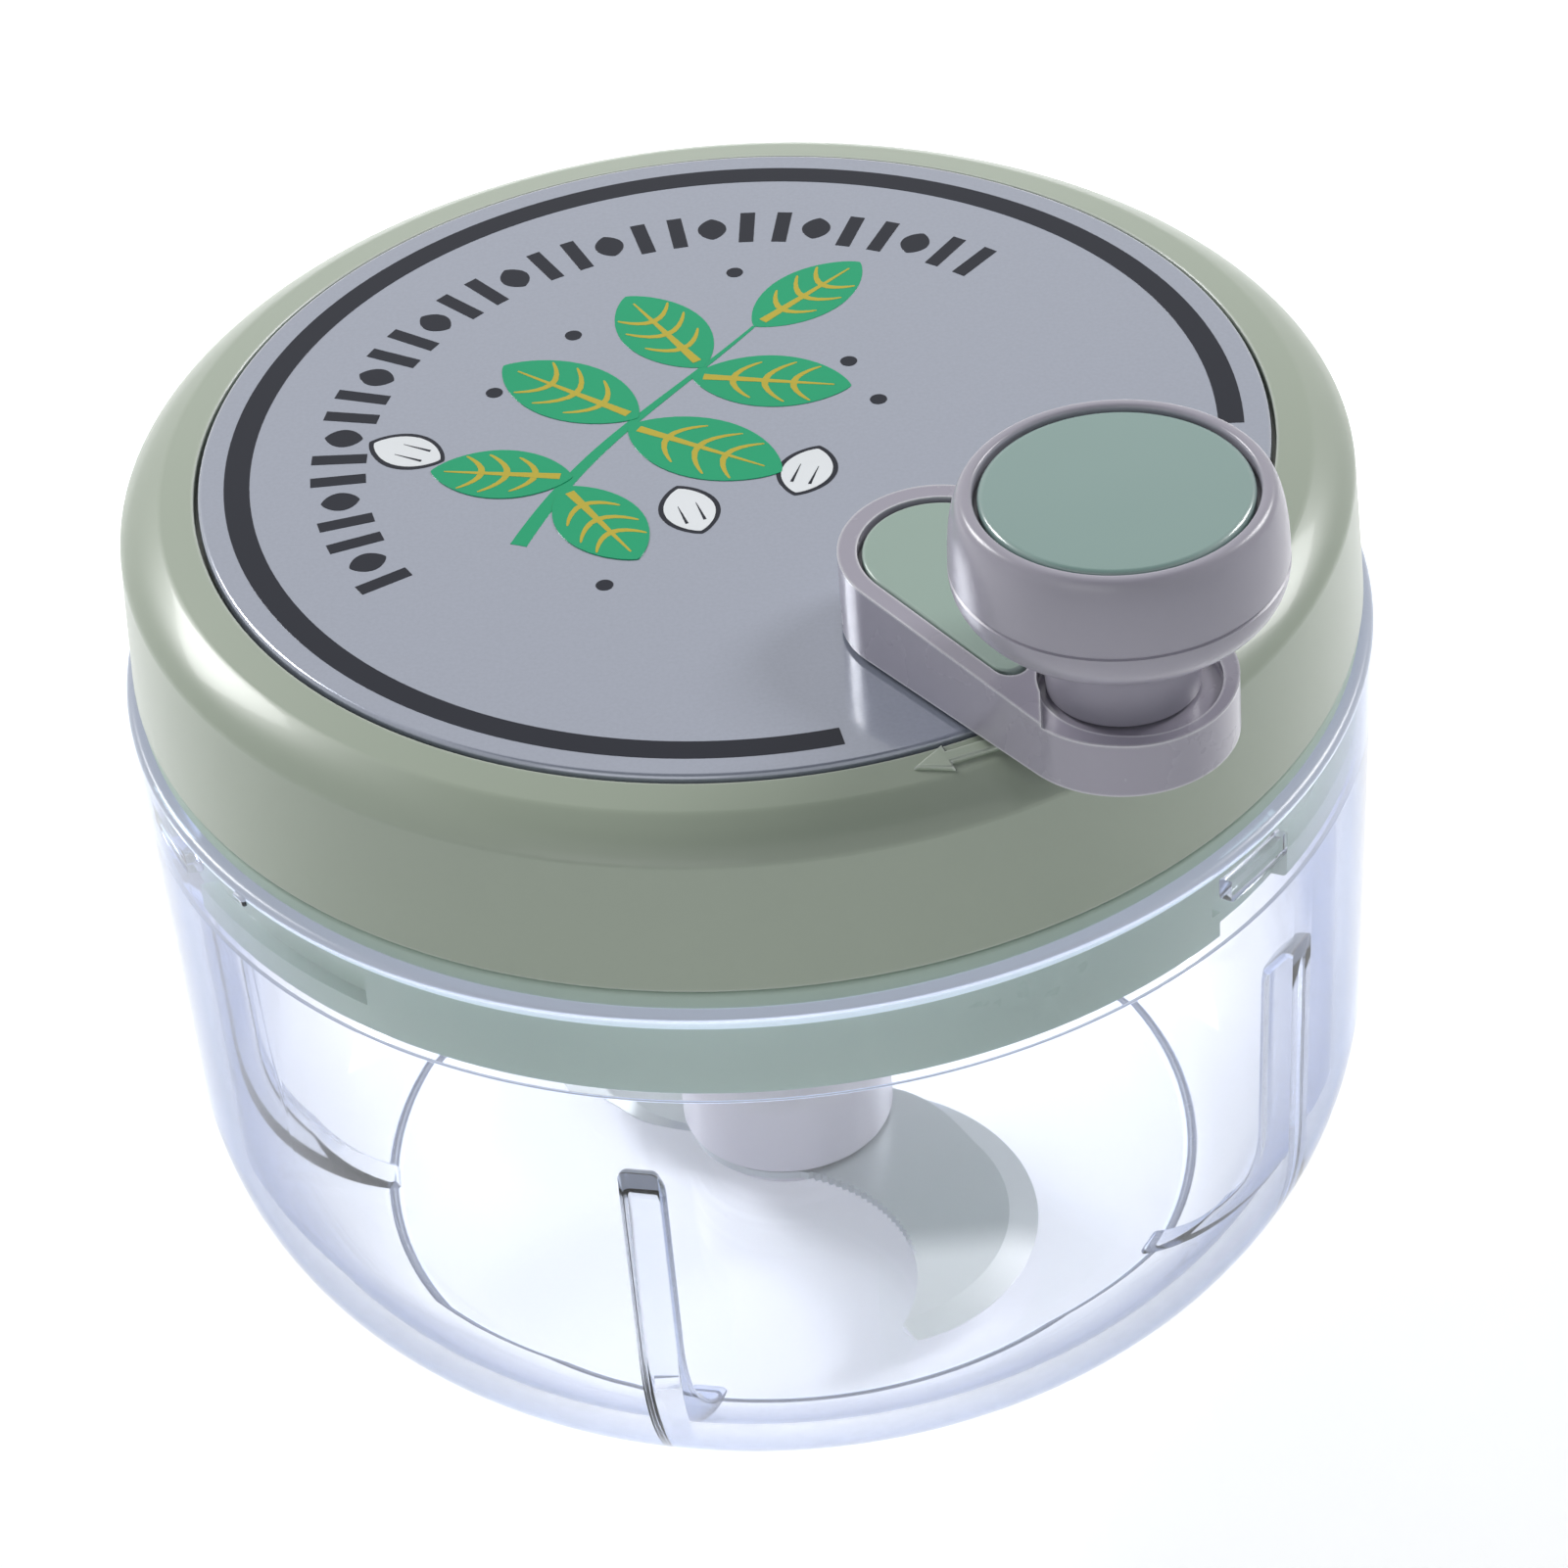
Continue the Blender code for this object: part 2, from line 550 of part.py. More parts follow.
def make_lid_shell(mat, axis):
    """The green lid shell, with the bearings and screw bosses under its deck."""
    shell = piece("lid_shell", turned(lid_section(), ROUND_STEPS), mat, axis)
    inside_deck = DECK_UNDER + DECK_THICKNESS / 2
    bush_radius = SPINDLE_RADIUS + RUNNING_GAP + BUSH_WALL
    flange_top = CRANK_GEAR_TOP + RUNNING_GAP + BUSH_FLANGE_THICKNESS
    shaft_hole = SHAFT_RADIUS + RUNNING_GAP
    shaft_top = DECK_UNDER - SHAFT_BELOW_DECK
    axle_hole = AXLE_RADIUS + FACE_GAP
    screw_hole = SCREW_RADIUS + FACE_GAP
    bosses = [tube(0.0, bush_radius + FACE_GAP + BOSS_WALL, flange_top + FACE_GAP, inside_deck,
                   centre=CRANK_CENTRE.xy),
              tube(0.0, axle_hole + AXLE_BOSS_WALL, PINION_TOP + 2 * FACE_GAP, inside_deck,
                   centre=IDLER_CENTRE.xy),
              tube(0.0, shaft_hole + AXLE_BOSS_WALL, shaft_top - SHAFT_BEARING_DEPTH, inside_deck)]
    holes = [tube(0.0, bush_radius + FACE_GAP, flange_top - OVERCUT, DECK_TOP + OVERCUT,
                  centre=CRANK_CENTRE.xy),
             tube(0.0, axle_hole, PINION_TOP - OVERCUT, DECK_UNDER + AXLE_IN_DECK + FACE_GAP,
                  centre=IDLER_CENTRE.xy),
             tube(0.0, shaft_hole, shaft_top - SHAFT_BEARING_DEPTH - OVERCUT, shaft_top + FACE_GAP)]
    for place in screw_places():
        bosses.append(tube(0.0, screw_hole + BOSS_WALL, COVER_TOP + FACE_GAP, inside_deck, 16,
                           place.xy))
        holes.append(tube(0.0, screw_hole, COVER_TOP - OVERCUT,
                          COVER_TOP + SCREW_LENGTH + 2 * FACE_GAP, 16, place.xy))
    combine(shell, tool("lid_bosses", merged(bosses + [rim_arrow()]), axis), "UNION")
    combine(shell, tool("lid_holes", merged(holes), axis))


def make_top_plate(mat, axis):
    """The round plate let into the lid's top, with a hole for the crank's bush."""
    radius = RECESS_RADIUS - PLATE_EDGE_GAP
    profile = [(0.0, PLATE_BOTTOM), (radius, PLATE_BOTTOM), (radius, PLATE_TOP - PLATE_BEVEL),
               (radius - PLATE_BEVEL, PLATE_TOP), (0.0, PLATE_TOP)]
    plate = piece("top_plate", turned(profile, ROUND_STEPS), mat, axis)
    bush_radius = SPINDLE_RADIUS + RUNNING_GAP + BUSH_WALL
    hole = tube(0.0, bush_radius + FACE_GAP, PLATE_BOTTOM - OVERCUT, PLATE_TOP + OVERCUT,
                centre=CRANK_CENTRE.xy)
    combine(plate, tool("plate_hole", hole, axis))


def groove(start, end, bottom, top):
    """A cutter for the part of the skirt's outer face that a lug runs in."""
    inner = RIM_BORE_RADIUS - LUG_DEPTH - GROOVE_GAP
    outer = SKIRT_RADIUS + OVERCUT
    steps = max(2, math.ceil((end - start) / math.radians(6.0)))
    outline = arc((0.0, 0.0), outer, start, end, steps) + arc((0.0, 0.0), inner, end, start, steps)
    return prism(outline, bottom, top)


def make_inner_cover(mat, axis):
    """The skirt that enters the bowl and the floor that closes the gear box."""
    upper = SKIRT_RADIUS - SKIRT_STEP
    step_height = LID_BOTTOM - FACE_GAP
    wall_top = LID_BOTTOM + SKIRT_INSIDE_LID
    profile = [(0.0, COVER_UNDER), (SKIRT_BORE_RADIUS, COVER_UNDER), (SKIRT_BORE_RADIUS, SKIRT_BOTTOM),
               (SKIRT_RADIUS, SKIRT_BOTTOM), (SKIRT_RADIUS, step_height), (upper, step_height),
               (upper, wall_top), (SKIRT_BORE_RADIUS, wall_top), (SKIRT_BORE_RADIUS, COVER_TOP),
               (0.0, COVER_TOP)]
    cover = piece("inner_cover", turned(profile, ROUND_STEPS), mat, axis)
    half = (LUG_WIDTH / 2 + SLOT_GAP) / SKIRT_BORE_RADIUS
    step = GROOVE_STEP / SKIRT_BORE_RADIUS
    lug_bottom = LEDGE_HEIGHT + LUG_ABOVE_LEDGE
    lug_middle = lug_bottom + LUG_HEIGHT / 2
    top = lug_bottom + LUG_HEIGHT + SLOT_GAP
    entries = [groove(angle - half, angle + half, SKIRT_BOTTOM - OVERCUT, lug_middle)
               for angle in lug_bearings()]
    runs = [groove(angle - half - step, angle + half + LOCK_ANGLE, lug_bottom - SLOT_GAP, top)
            for angle in lug_bearings()]
    combine(cover, tool("groove_entries", merged(entries), axis))
    combine(cover, tool("groove_runs", merged(runs), axis))
    bush_outer = SHAFT_RADIUS + RUNNING_GAP + SHAFT_BUSH_WALL
    pocket = bush_outer + FACE_GAP
    axle_hole = AXLE_RADIUS + FACE_GAP
    middle = (COVER_UNDER + COVER_TOP) / 2
    additions = [tube(0.0, pocket + SEAL_POCKET_WALL, COVER_UNDER - SEAL_POCKET_DEPTH, middle),
                 tube(0.0, axle_hole + AXLE_BOSS_WALL, middle, COVER_TOP + AXLE_BOSS_LIFT,
                      centre=IDLER_CENTRE.xy)]
    combine(cover, tool("cover_bosses", merged(additions), axis), "UNION")
    cuts = [tube(0.0, pocket, COVER_UNDER - SEAL_POCKET_DEPTH - OVERCUT, COVER_TOP + OVERCUT),
            tube(0.0, axle_hole, COVER_TOP - AXLE_IN_FLOOR - FACE_GAP,
                 COVER_TOP + AXLE_BOSS_LIFT + OVERCUT, centre=IDLER_CENTRE.xy)]
    for place in screw_places():
        cuts.append(tube(0.0, SCREW_RADIUS + FACE_GAP, COVER_UNDER - OVERCUT, COVER_TOP + OVERCUT, 16,
                         place.xy))
    combine(cover, tool("cover_holes", merged(cuts), axis))


def make_screw(name, mat, head_bottom, parent, place, points_up=True, length=SCREW_LENGTH):
    """A slotted screw; its head's outer face is at head_bottom, or is its top when it points down."""
    head_top = head_bottom + SCREW_HEAD_HEIGHT
    edge = SCREW_HEAD_HEIGHT / 3
    tip = head_top + length
    nose = SCREW_RADIUS / 2
    profile = [(0.0, head_bottom), (SCREW_HEAD_RADIUS - edge, head_bottom),
               (SCREW_HEAD_RADIUS, head_bottom + edge), (SCREW_HEAD_RADIUS, head_top),
               (SCREW_RADIUS, head_top), (SCREW_RADIUS, tip - nose), (SCREW_RADIUS - nose, tip),
               (0.0, tip)]
    if not points_up:
        profile = [(radius, 2 * head_bottom - height) for radius, height in reversed(profile)]
    screw = piece(name, turned(profile, 20), mat, parent, place)
    reach = SCREW_HEAD_RADIUS + OVERCUT
    half = SCREW_SLOT / 2
    depth = SCREW_HEAD_HEIGHT / 2
    low, high = (head_bottom - OVERCUT, head_bottom + depth)
    if not points_up:
        low, high = (head_bottom - depth, head_bottom + OVERCUT)
    slot = prism([(-reach, -half), (reach, -half), (reach, half), (-reach, half)], low, high)
    combine(screw, tool(name + "_slot", slot, parent, place))


def make_cover_screws(mat, axis):
    """The screws that hold the inner cover up to the lid shell."""
    head_bottom = COVER_UNDER - FACE_GAP - SCREW_HEAD_HEIGHT
    for number, place in enumerate(screw_places(), 1):
        make_screw(f"cover_screw_{number}", mat, head_bottom, axis, place)


def flats(radius, flat, bottom, top):
    """Two cutters that leave a round bar with flat sides between two heights."""
    reach = radius + OVERCUT
    sides = []
    for side in (1, -1):
        box = [(-reach, side * flat), (reach, side * flat), (reach, side * reach), (-reach, side * reach)]
        sides.append(prism(box, bottom, top))
    return sides


def gear_outline(teeth, phase):
    """Involute teeth; the first one points along the phase."""
    pitch = teeth * MODULE / 2
    base = pitch * math.cos(PRESSURE_ANGLE)
    tip = pitch + ADDENDUM * MODULE
    root = pitch - DEDENDUM * MODULE
    spread = math.tan(PRESSURE_ANGLE) - PRESSURE_ANGLE
    half = math.pi / (2 * teeth) - BACKLASH / (2 * pitch) + spread
    foot = max(base, root)
    radii = [root] if root < foot else []
    radii += [foot + (tip - foot) * i / 3 for i in range(4)]
    flank = []
    for radius in radii:
        roll = math.acos(min(1.0, base / max(radius, base)))
        flank.append((radius, half - (math.tan(roll) - roll)))
    outline = []
    for tooth in range(teeth):
        middle = phase + math.tau * tooth / teeth
        outline += [(r * math.cos(middle - a), r * math.sin(middle - a)) for r, a in flank]
        outline += [(r * math.cos(middle + a), r * math.sin(middle + a)) for r, a in reversed(flank)]
    return outline


def make_crank_bearing(mat, axis):
    """The flanged bush in the lid that the crank spindle turns in."""
    bore = SPINDLE_RADIUS + RUNNING_GAP
    outer = bore + BUSH_WALL
    bottom = CRANK_GEAR_TOP + RUNNING_GAP
    flange_top = bottom + BUSH_FLANGE_THICKNESS
    top = PLATE_TOP - FACE_GAP
    profile = [(bore, bottom), (outer + BUSH_FLANGE, bottom), (outer + BUSH_FLANGE, flange_top),
               (outer, flange_top), (outer, top), (bore, top)]
    piece("crank_bush", turned(profile), mat, axis, CRANK_CENTRE)


def make_crank_spindle(mat, axis):
    """The spindle that joins the arm, above, to the crank gear, below."""
    bottom = CRANK_GEAR_BOTTOM + FACE_GAP
    top = ARM_BOTTOM + SPINDLE_IN_ARM
    spindle = piece("crank_spindle", tube(0.0, SPINDLE_RADIUS, bottom, top), mat, axis)
    cuts = flats(SPINDLE_RADIUS, SPINDLE_FLAT, bottom - OVERCUT, CRANK_GEAR_TOP + FACE_GAP)
    cuts += flats(SPINDLE_RADIUS, SPINDLE_FLAT, ARM_BOTTOM - FACE_GAP, top + OVERCUT)
    combine(spindle, tool("spindle_flats", merged(cuts), axis))
    hole = SCREW_RADIUS + FACE_GAP
    depth = SCREW_LENGTH - WASHER_THICKNESS
    room = min(depth, (top - bottom) / 2 - MM)
    holes = [tube(0.0, hole, bottom - OVERCUT, bottom + room, 16),
             tube(0.0, hole, top - room, top + OVERCUT, 16)]
    combine(spindle, tool("spindle_holes", merged(holes), axis))


def make_crank_gear(mat, axis):
    """The large gear under the lid that the crank turns."""
    phase = bearing(CRANK_CENTRE, IDLER_CENTRE) - ARM_ANGLE
    outline = gear_outline(CRANK_TEETH, phase)
    gear = piece("crank_gear", prism(outline, CRANK_GEAR_BOTTOM, CRANK_GEAR_TOP), mat, axis)
    bore = prism(double_flat(SPINDLE_RADIUS + FACE_GAP, SPINDLE_FLAT + FACE_GAP),
                 CRANK_GEAR_BOTTOM - OVERCUT, CRANK_GEAR_TOP + OVERCUT)
    combine(gear, tool("crank_gear_bore", bore, axis))


def make_crank_fasteners(washer_mat, screw_mat, axis):
    """The washer and screw under the crank gear, and the screw in the arm."""
    washer_top = CRANK_GEAR_BOTTOM - FACE_GAP
    washer_bottom = washer_top - WASHER_THICKNESS
    washer = tube(SCREW_RADIUS + FACE_GAP, SPINDLE_RADIUS + MM, washer_bottom, washer_top)
    piece("crank_washer", washer, washer_mat, axis)
    origin = (0.0, 0.0, 0.0)
    short = SCREW_LENGTH * 0.7
    make_screw("crank_screw", screw_mat, washer_bottom - FACE_GAP - SCREW_HEAD_HEIGHT, axis, origin,
               length=short)
    make_screw("arm_screw", screw_mat, INLAY_FLOOR - FACE_GAP, axis, origin, False, short)


def make_idler(gear_mat, axle_mat, lid_axis, idler_axis):
    """The compound idler: a small gear meets the crank gear, a large one the drive pinion."""
    bottom = COVER_TOP - AXLE_IN_FLOOR
    top = DECK_UNDER + AXLE_IN_DECK
    piece("idler_axle", tube(0.0, AXLE_RADIUS, bottom, top), axle_mat, lid_axis, IDLER_CENTRE)
    large = gear_outline(IDLER_TEETH, bearing(IDLER_CENTRE, (0.0, 0.0)))
    gap_turn = math.pi / IDLER_PINION_TEETH
    small = gear_outline(IDLER_PINION_TEETH, bearing(IDLER_CENTRE, CRANK_CENTRE) + gap_turn)
    idler = piece("idler_gear", prism(large, LOWER_GEAR_BOTTOM, LOWER_GEAR_TOP), gear_mat, idler_axis)
    pinion = prism(small, LOWER_GEAR_BOTTOM + GEAR_WIDTH / 2, PINION_TOP)
    combine(idler, tool("idler_pinion", pinion, idler_axis), "UNION")
    bore = tube(0.0, AXLE_RADIUS + RUNNING_GAP, LOWER_GEAR_BOTTOM - OVERCUT, PINION_TOP + OVERCUT)
    combine(idler, tool("idler_bore", bore, idler_axis))


def make_drive(shaft_mat, gear_mat, axis):
    """The drive shaft on the Z axis, and the pinion on it."""
    bottom = HUB_TOP - SHAFT_IN_HUB
    top = DECK_UNDER - SHAFT_BELOW_DECK
    pinion_bottom = LOWER_GEAR_BOTTOM - FACE_GAP
    pinion_top = LOWER_GEAR_TOP + FACE_GAP
    shaft = piece("drive_shaft", tube(0.0, SHAFT_RADIUS, bottom, top), shaft_mat, axis)
    cuts = flats(SHAFT_RADIUS, SHAFT_FLAT, bottom - OVERCUT, HUB_TOP + FACE_GAP)
    cuts += flats(SHAFT_RADIUS, SHAFT_FLAT, pinion_bottom - FACE_GAP, pinion_top + FACE_GAP)
    combine(shaft, tool("shaft_flats", merged(cuts), axis))
    outline = gear_outline(DRIVE_TEETH, bearing((0.0, 0.0), IDLER_CENTRE) + math.pi / DRIVE_TEETH)
    pinion = piece("drive_pinion", prism(outline, pinion_bottom, pinion_top), gear_mat, axis)
    bore = prism(double_flat(SHAFT_RADIUS + FACE_GAP, SHAFT_FLAT + FACE_GAP),
                 pinion_bottom - OVERCUT, pinion_top + OVERCUT)
    combine(pinion, tool("pinion_bore", bore, axis))


def make_drive_bearing(bush_mat, seal_mat, axis):
    """The bush in the cover's floor, and the seal under it."""
    bore = SHAFT_RADIUS + RUNNING_GAP
    outer = bore + SHAFT_BUSH_WALL
    seal_top = COVER_UNDER - SEAL_POCKET_DEPTH + FACE_GAP + SHAFT_SEAL_HEIGHT
    bush_bottom = seal_top + FACE_GAP
    flange_bottom = COVER_TOP + FACE_GAP
    flange_top = flange_bottom + SHAFT_BUSH_FLANGE_THICKNESS
    profile = [(bore, bush_bottom), (outer, bush_bottom), (outer, flange_bottom),
               (outer + SHAFT_BUSH_FLANGE, flange_bottom), (outer + SHAFT_BUSH_FLANGE, flange_top),
               (bore, flange_top)]
    piece("drive_bush", turned(profile), bush_mat, axis)
    seal = tube(bore, outer, seal_top - SHAFT_SEAL_HEIGHT, seal_top)
    piece("shaft_seal", seal, seal_mat, axis)


def scoop_outline():
    """The plan of the arm's lowered end: round the knob's foot, then flared to the sides."""
    side = ARM_KNOB_RADIUS + OVERCUT
    far = ARM_LENGTH + ARM_KNOB_RADIUS + OVERCUT
    near = arc((ARM_LENGTH, 0.0), SCOOP_RADIUS, math.pi - SCOOP_FLARE_START, math.pi + SCOOP_FLARE_START,
               2 * ARC_STEPS)
    start = near[0]
    flare = start[0] + SCOOP_FLARE * (side - start[1])
    return near + [(flare, -side), (far, -side), (far, side), (flare, side)]


def inlay_outline(grow=0.0):
    """The plan of the inlay: round at the pivot, hollow towards the knob."""
    inset = INLAY_INSET - grow
    radius = ARM_RADIUS - inset
    end = SCOOP_RADIUS + INLAY_TO_SCOOP - grow
    corner = INLAY_ROUND
    knob = Vector((ARM_LENGTH, 0.0))
    along = Vector((math.cos(ARM_TAPER), math.sin(ARM_TAPER)))
    across = Vector((-along.y, along.x))
    drop = radius - corner
    reach = math.sqrt((end + corner) ** 2 - (drop - knob.dot(across)) ** 2)
    round_centre = across * drop + along * (knob.dot(along) - reach)
    meets = bearing(round_centre, knob)
    upper = arc(round_centre, corner, math.pi / 2 + ARM_TAPER, meets, 4)
    lower = [(x, -y) for x, y in reversed(upper)]
    start = bearing(knob, round_centre)
    hollow = arc(knob, end, start, math.tau - start, ARC_STEPS)[1:-1]
    pivot = arc((0.0, 0.0), radius, -math.pi / 2 - ARM_TAPER, -3 * math.pi / 2 + ARM_TAPER, 2 * ARC_STEPS)
    return upper + hollow + lower + pivot


def arm_outline():
    """The arm's plan: a bar with two round ends, a little wider at the knob."""
    turn = math.pi / 2 + ARM_TAPER
    pivot = arc((0.0, 0.0), ARM_RADIUS, turn, math.tau - turn, 2 * ARC_STEPS)
    knob = arc((ARM_LENGTH, 0.0), ARM_KNOB_RADIUS, -turn, turn, 2 * ARC_STEPS)
    return pivot + knob


def sloped(bm, verts):
    """Lower some of a shape's points as the arm's top falls towards the knob."""
    fall = Matrix.Identity(4)
    fall[2][0] = -ARM_SLOPE
    bmesh.ops.transform(bm, matrix=fall, verts=verts)
    return bm


def make_arm(mat, inlay_mat, axis):
    """The crank arm, sloping and scooped round the knob, and the inlay in its top."""
    bm = prism(arm_outline(), ARM_BOTTOM, ARM_TOP)
    tops = [vert for vert in bm.verts if vert.co.z > ARM_TOP - MM]
    top_edges = [edge for edge in bm.edges if all(v.co.z > ARM_TOP - MM for v in edge.verts)]
    sloped(bm, tops)
    bmesh.ops.bevel(bm, geom=top_edges, offset=ARM_BEVEL, segments=2, profile=0.5, affect="EDGES",
                    material=-1)
    arm = piece("crank_arm", bm, mat, axis)
    scoop = prism(scoop_outline(), PLATFORM_TOP, ARM_TOP + OVERCUT)
    combine(arm, tool("arm_scoop", scoop, axis))
    knob = (ARM_LENGTH, 0.0)
    well = (ARM_LENGTH + WELL_PAST_KNOB, 0.0)
    pin_hole = KNOB_PIN_RADIUS + FACE_GAP
    head_top = ARM_BOTTOM + KNOB_PIN_HEAD + 2 * FACE_GAP
    combine(arm, tool("knob_well", tube(0.0, WELL_RADIUS, PLATFORM_TOP - WELL_DEPTH, ARM_TOP + OVERCUT,
                                        2 * SMALL_STEPS, well), axis))
    recess = prism(inlay_outline(FACE_GAP), INLAY_FLOOR, ARM_TOP + OVERCUT)
    combine(arm, tool("inlay_recess", sloped(recess, recess.verts), axis))
    socket = prism(double_flat(SPINDLE_RADIUS + FACE_GAP, SPINDLE_FLAT + FACE_GAP),
                   ARM_BOTTOM - OVERCUT, ARM_BOTTOM + SPINDLE_IN_ARM + FACE_GAP)
    pin_head = tube(0.0, KNOB_PIN_HEAD_RADIUS + FACE_GAP, ARM_BOTTOM - OVERCUT, head_top, centre=knob)
    screw_head = tube(0.0, SCREW_HEAD_RADIUS + FACE_GAP, INLAY_FLOOR - HEAD_RECESS, ARM_TOP + OVERCUT, 20)
    combine(arm, tool("arm_pockets", merged([socket, pin_head, screw_head]), axis))
    bores = [tube(0.0, SCREW_RADIUS + FACE_GAP, ARM_BOTTOM - OVERCUT, ARM_TOP + OVERCUT, 16),
             tube(0.0, pin_hole, ARM_BOTTOM - OVERCUT, ARM_TOP + OVERCUT, centre=knob)]
    combine(arm, tool("arm_bores", merged(bores), axis))
    floor = INLAY_FLOOR + FACE_GAP
    inlay = prism(inlay_outline(), floor, floor + INLAY_THICKNESS)
    piece("arm_inlay", sloped(inlay, inlay.verts), inlay_mat, axis)


def knob_profile():
    """The knob's section, from its bore up its outside and down into its top recess."""
    bore = KNOB_PIN_RADIUS + RUNNING_GAP
    recess = KNOB_TOP_RADIUS - KNOB_LIP - KNOB_LIP / 2
    neck = KNOB_BOTTOM + KNOB_NECK_HEIGHT
    waist = KNOB_BOTTOM + KNOB_WAIST_HEIGHT
    bulge = KNOB_RADIUS - KNOB_NECK_RADIUS
    rise = waist - neck
    swell = [(KNOB_NECK_RADIUS + bulge * share, neck + rise * height)
             for share, height in ((0.10, 0.16), (0.36, 0.31), (0.66, 0.47), (0.86, 0.66), (0.97, 0.85))]
    upper = KNOB_TOP - waist
    drop = KNOB_RADIUS - KNOB_TOP_RADIUS
    crown = [(KNOB_RADIUS - drop * share, waist + upper * height)
             for share, height in ((0.12, 0.35), (0.5, 0.7))]
    return ([(bore, KNOB_BOTTOM), (KNOB_FOOT_RADIUS, KNOB_BOTTOM), (KNOB_NECK_RADIUS, neck)] + swell
            + [(KNOB_RADIUS, waist)] + crown
            + [(KNOB_TOP_RADIUS, KNOB_TOP - KNOB_LIP / 2),
               (KNOB_TOP_RADIUS - KNOB_LIP / 2, KNOB_TOP), (recess + KNOB_LIP / 4, KNOB_TOP),
               (recess, KNOB_TOP - KNOB_LIP / 4), (recess, KNOB_RECESS_FLOOR),
               (KNOB_SCREW_WELL_RADIUS, KNOB_RECESS_FLOOR), (KNOB_SCREW_WELL_RADIUS, KNOB_SCREW_FLOOR),
               (bore, KNOB_SCREW_FLOOR)])


def make_knob(body_mat, cap_mat, steel_mat, crank_axis, knob_axis):
    """The knob, its inlaid cap, and the pin, washer and screw that hold it to the arm."""
    piece("knob_body", turned(knob_profile(), 48), body_mat, knob_axis)
    radius = KNOB_TOP_RADIUS - KNOB_LIP - KNOB_LIP / 2 - FACE_GAP
    bottom = KNOB_RECESS_FLOOR + FACE_GAP
    edge = bottom + KNOB_CAP_THICKNESS - KNOB_CAP_CROWN
    profile = [(0.0, bottom), (radius, bottom), (radius, edge - KNOB_CAP_CROWN),
               (radius - KNOB_CAP_CROWN, edge), (radius / 2, edge + KNOB_CAP_CROWN * 0.75),
               (0.0, edge + KNOB_CAP_CROWN)]
    piece("knob_cap", turned(profile, 48), cap_mat, knob_axis)
    head_bottom = ARM_BOTTOM + FACE_GAP
    head_top = head_bottom + KNOB_PIN_HEAD
    pin_top = KNOB_SCREW_FLOOR
    place = Vector((ARM_LENGTH, 0.0, 0.0))
    profile = [(0.0, head_bottom), (KNOB_PIN_HEAD_RADIUS, head_bottom), (KNOB_PIN_HEAD_RADIUS, head_top),
               (KNOB_PIN_RADIUS, head_top), (KNOB_PIN_RADIUS, pin_top), (0.0, pin_top)]
    pin = piece("knob_pin", turned(profile), steel_mat, crank_axis, place)
    length = (pin_top - head_top) / 2
    hole = tube(0.0, SCREW_RADIUS + FACE_GAP, pin_top - length, pin_top + OVERCUT, 16)
    combine(pin, tool("knob_pin_hole", hole, crank_axis, place))
    washer_bottom = KNOB_SCREW_FLOOR + FACE_GAP
    washer_top = washer_bottom + WASHER_THICKNESS
    washer = tube(SCREW_RADIUS + FACE_GAP, KNOB_SCREW_WELL_RADIUS - 2 * FACE_GAP, washer_bottom, washer_top)
    piece("knob_washer", washer, steel_mat, crank_axis, place)
    make_screw("knob_screw", steel_mat, washer_top + FACE_GAP + SCREW_HEAD_HEIGHT, crank_axis, place,
               False, length - 2 * WASHER_THICKNESS)


def wing_outline():
    """One blade wing: a round cutting edge, a blunt tip and a hollow back."""
    edge_centre = Vector(BLADE_EDGE_CENTRE)
    back_centre = Vector(BLADE_BACK_CENTRE)
    origin = Vector((0.0, 0.0))
    crossings = circles_meet(edge_centre, BLADE_EDGE_RADIUS, back_centre, BLADE_BACK_RADIUS)
    tip = max(crossings, key=lambda point: point.length)
    edge_root = max(circles_meet(edge_centre, BLADE_EDGE_RADIUS, origin, BLADE_CENTRE_RADIUS),
                    key=lambda point: point.x)
    back_root = min(circles_meet(back_centre, BLADE_BACK_RADIUS, origin, BLADE_CENTRE_RADIUS),
                    key=lambda point: abs(point.x))
    edge = arc(edge_centre, BLADE_EDGE_RADIUS, bearing(edge_centre, edge_root),
               bearing(edge_centre, tip) + BLADE_TIP_CUT / BLADE_EDGE_RADIUS, 2 * ARC_STEPS)
    back = arc(back_centre, BLADE_BACK_RADIUS,
               bearing(back_centre, tip) + BLADE_TIP_CUT / BLADE_BACK_RADIUS,
               bearing(back_centre, back_root), ARC_STEPS)
    root_turn = bearing(origin, back_root)
    next_turn = bearing(origin, edge_root) - math.pi
    rest = arc(origin, BLADE_CENTRE_RADIUS, root_turn, next_turn, ARC_STEPS)[1:-1]
    return edge + back + rest


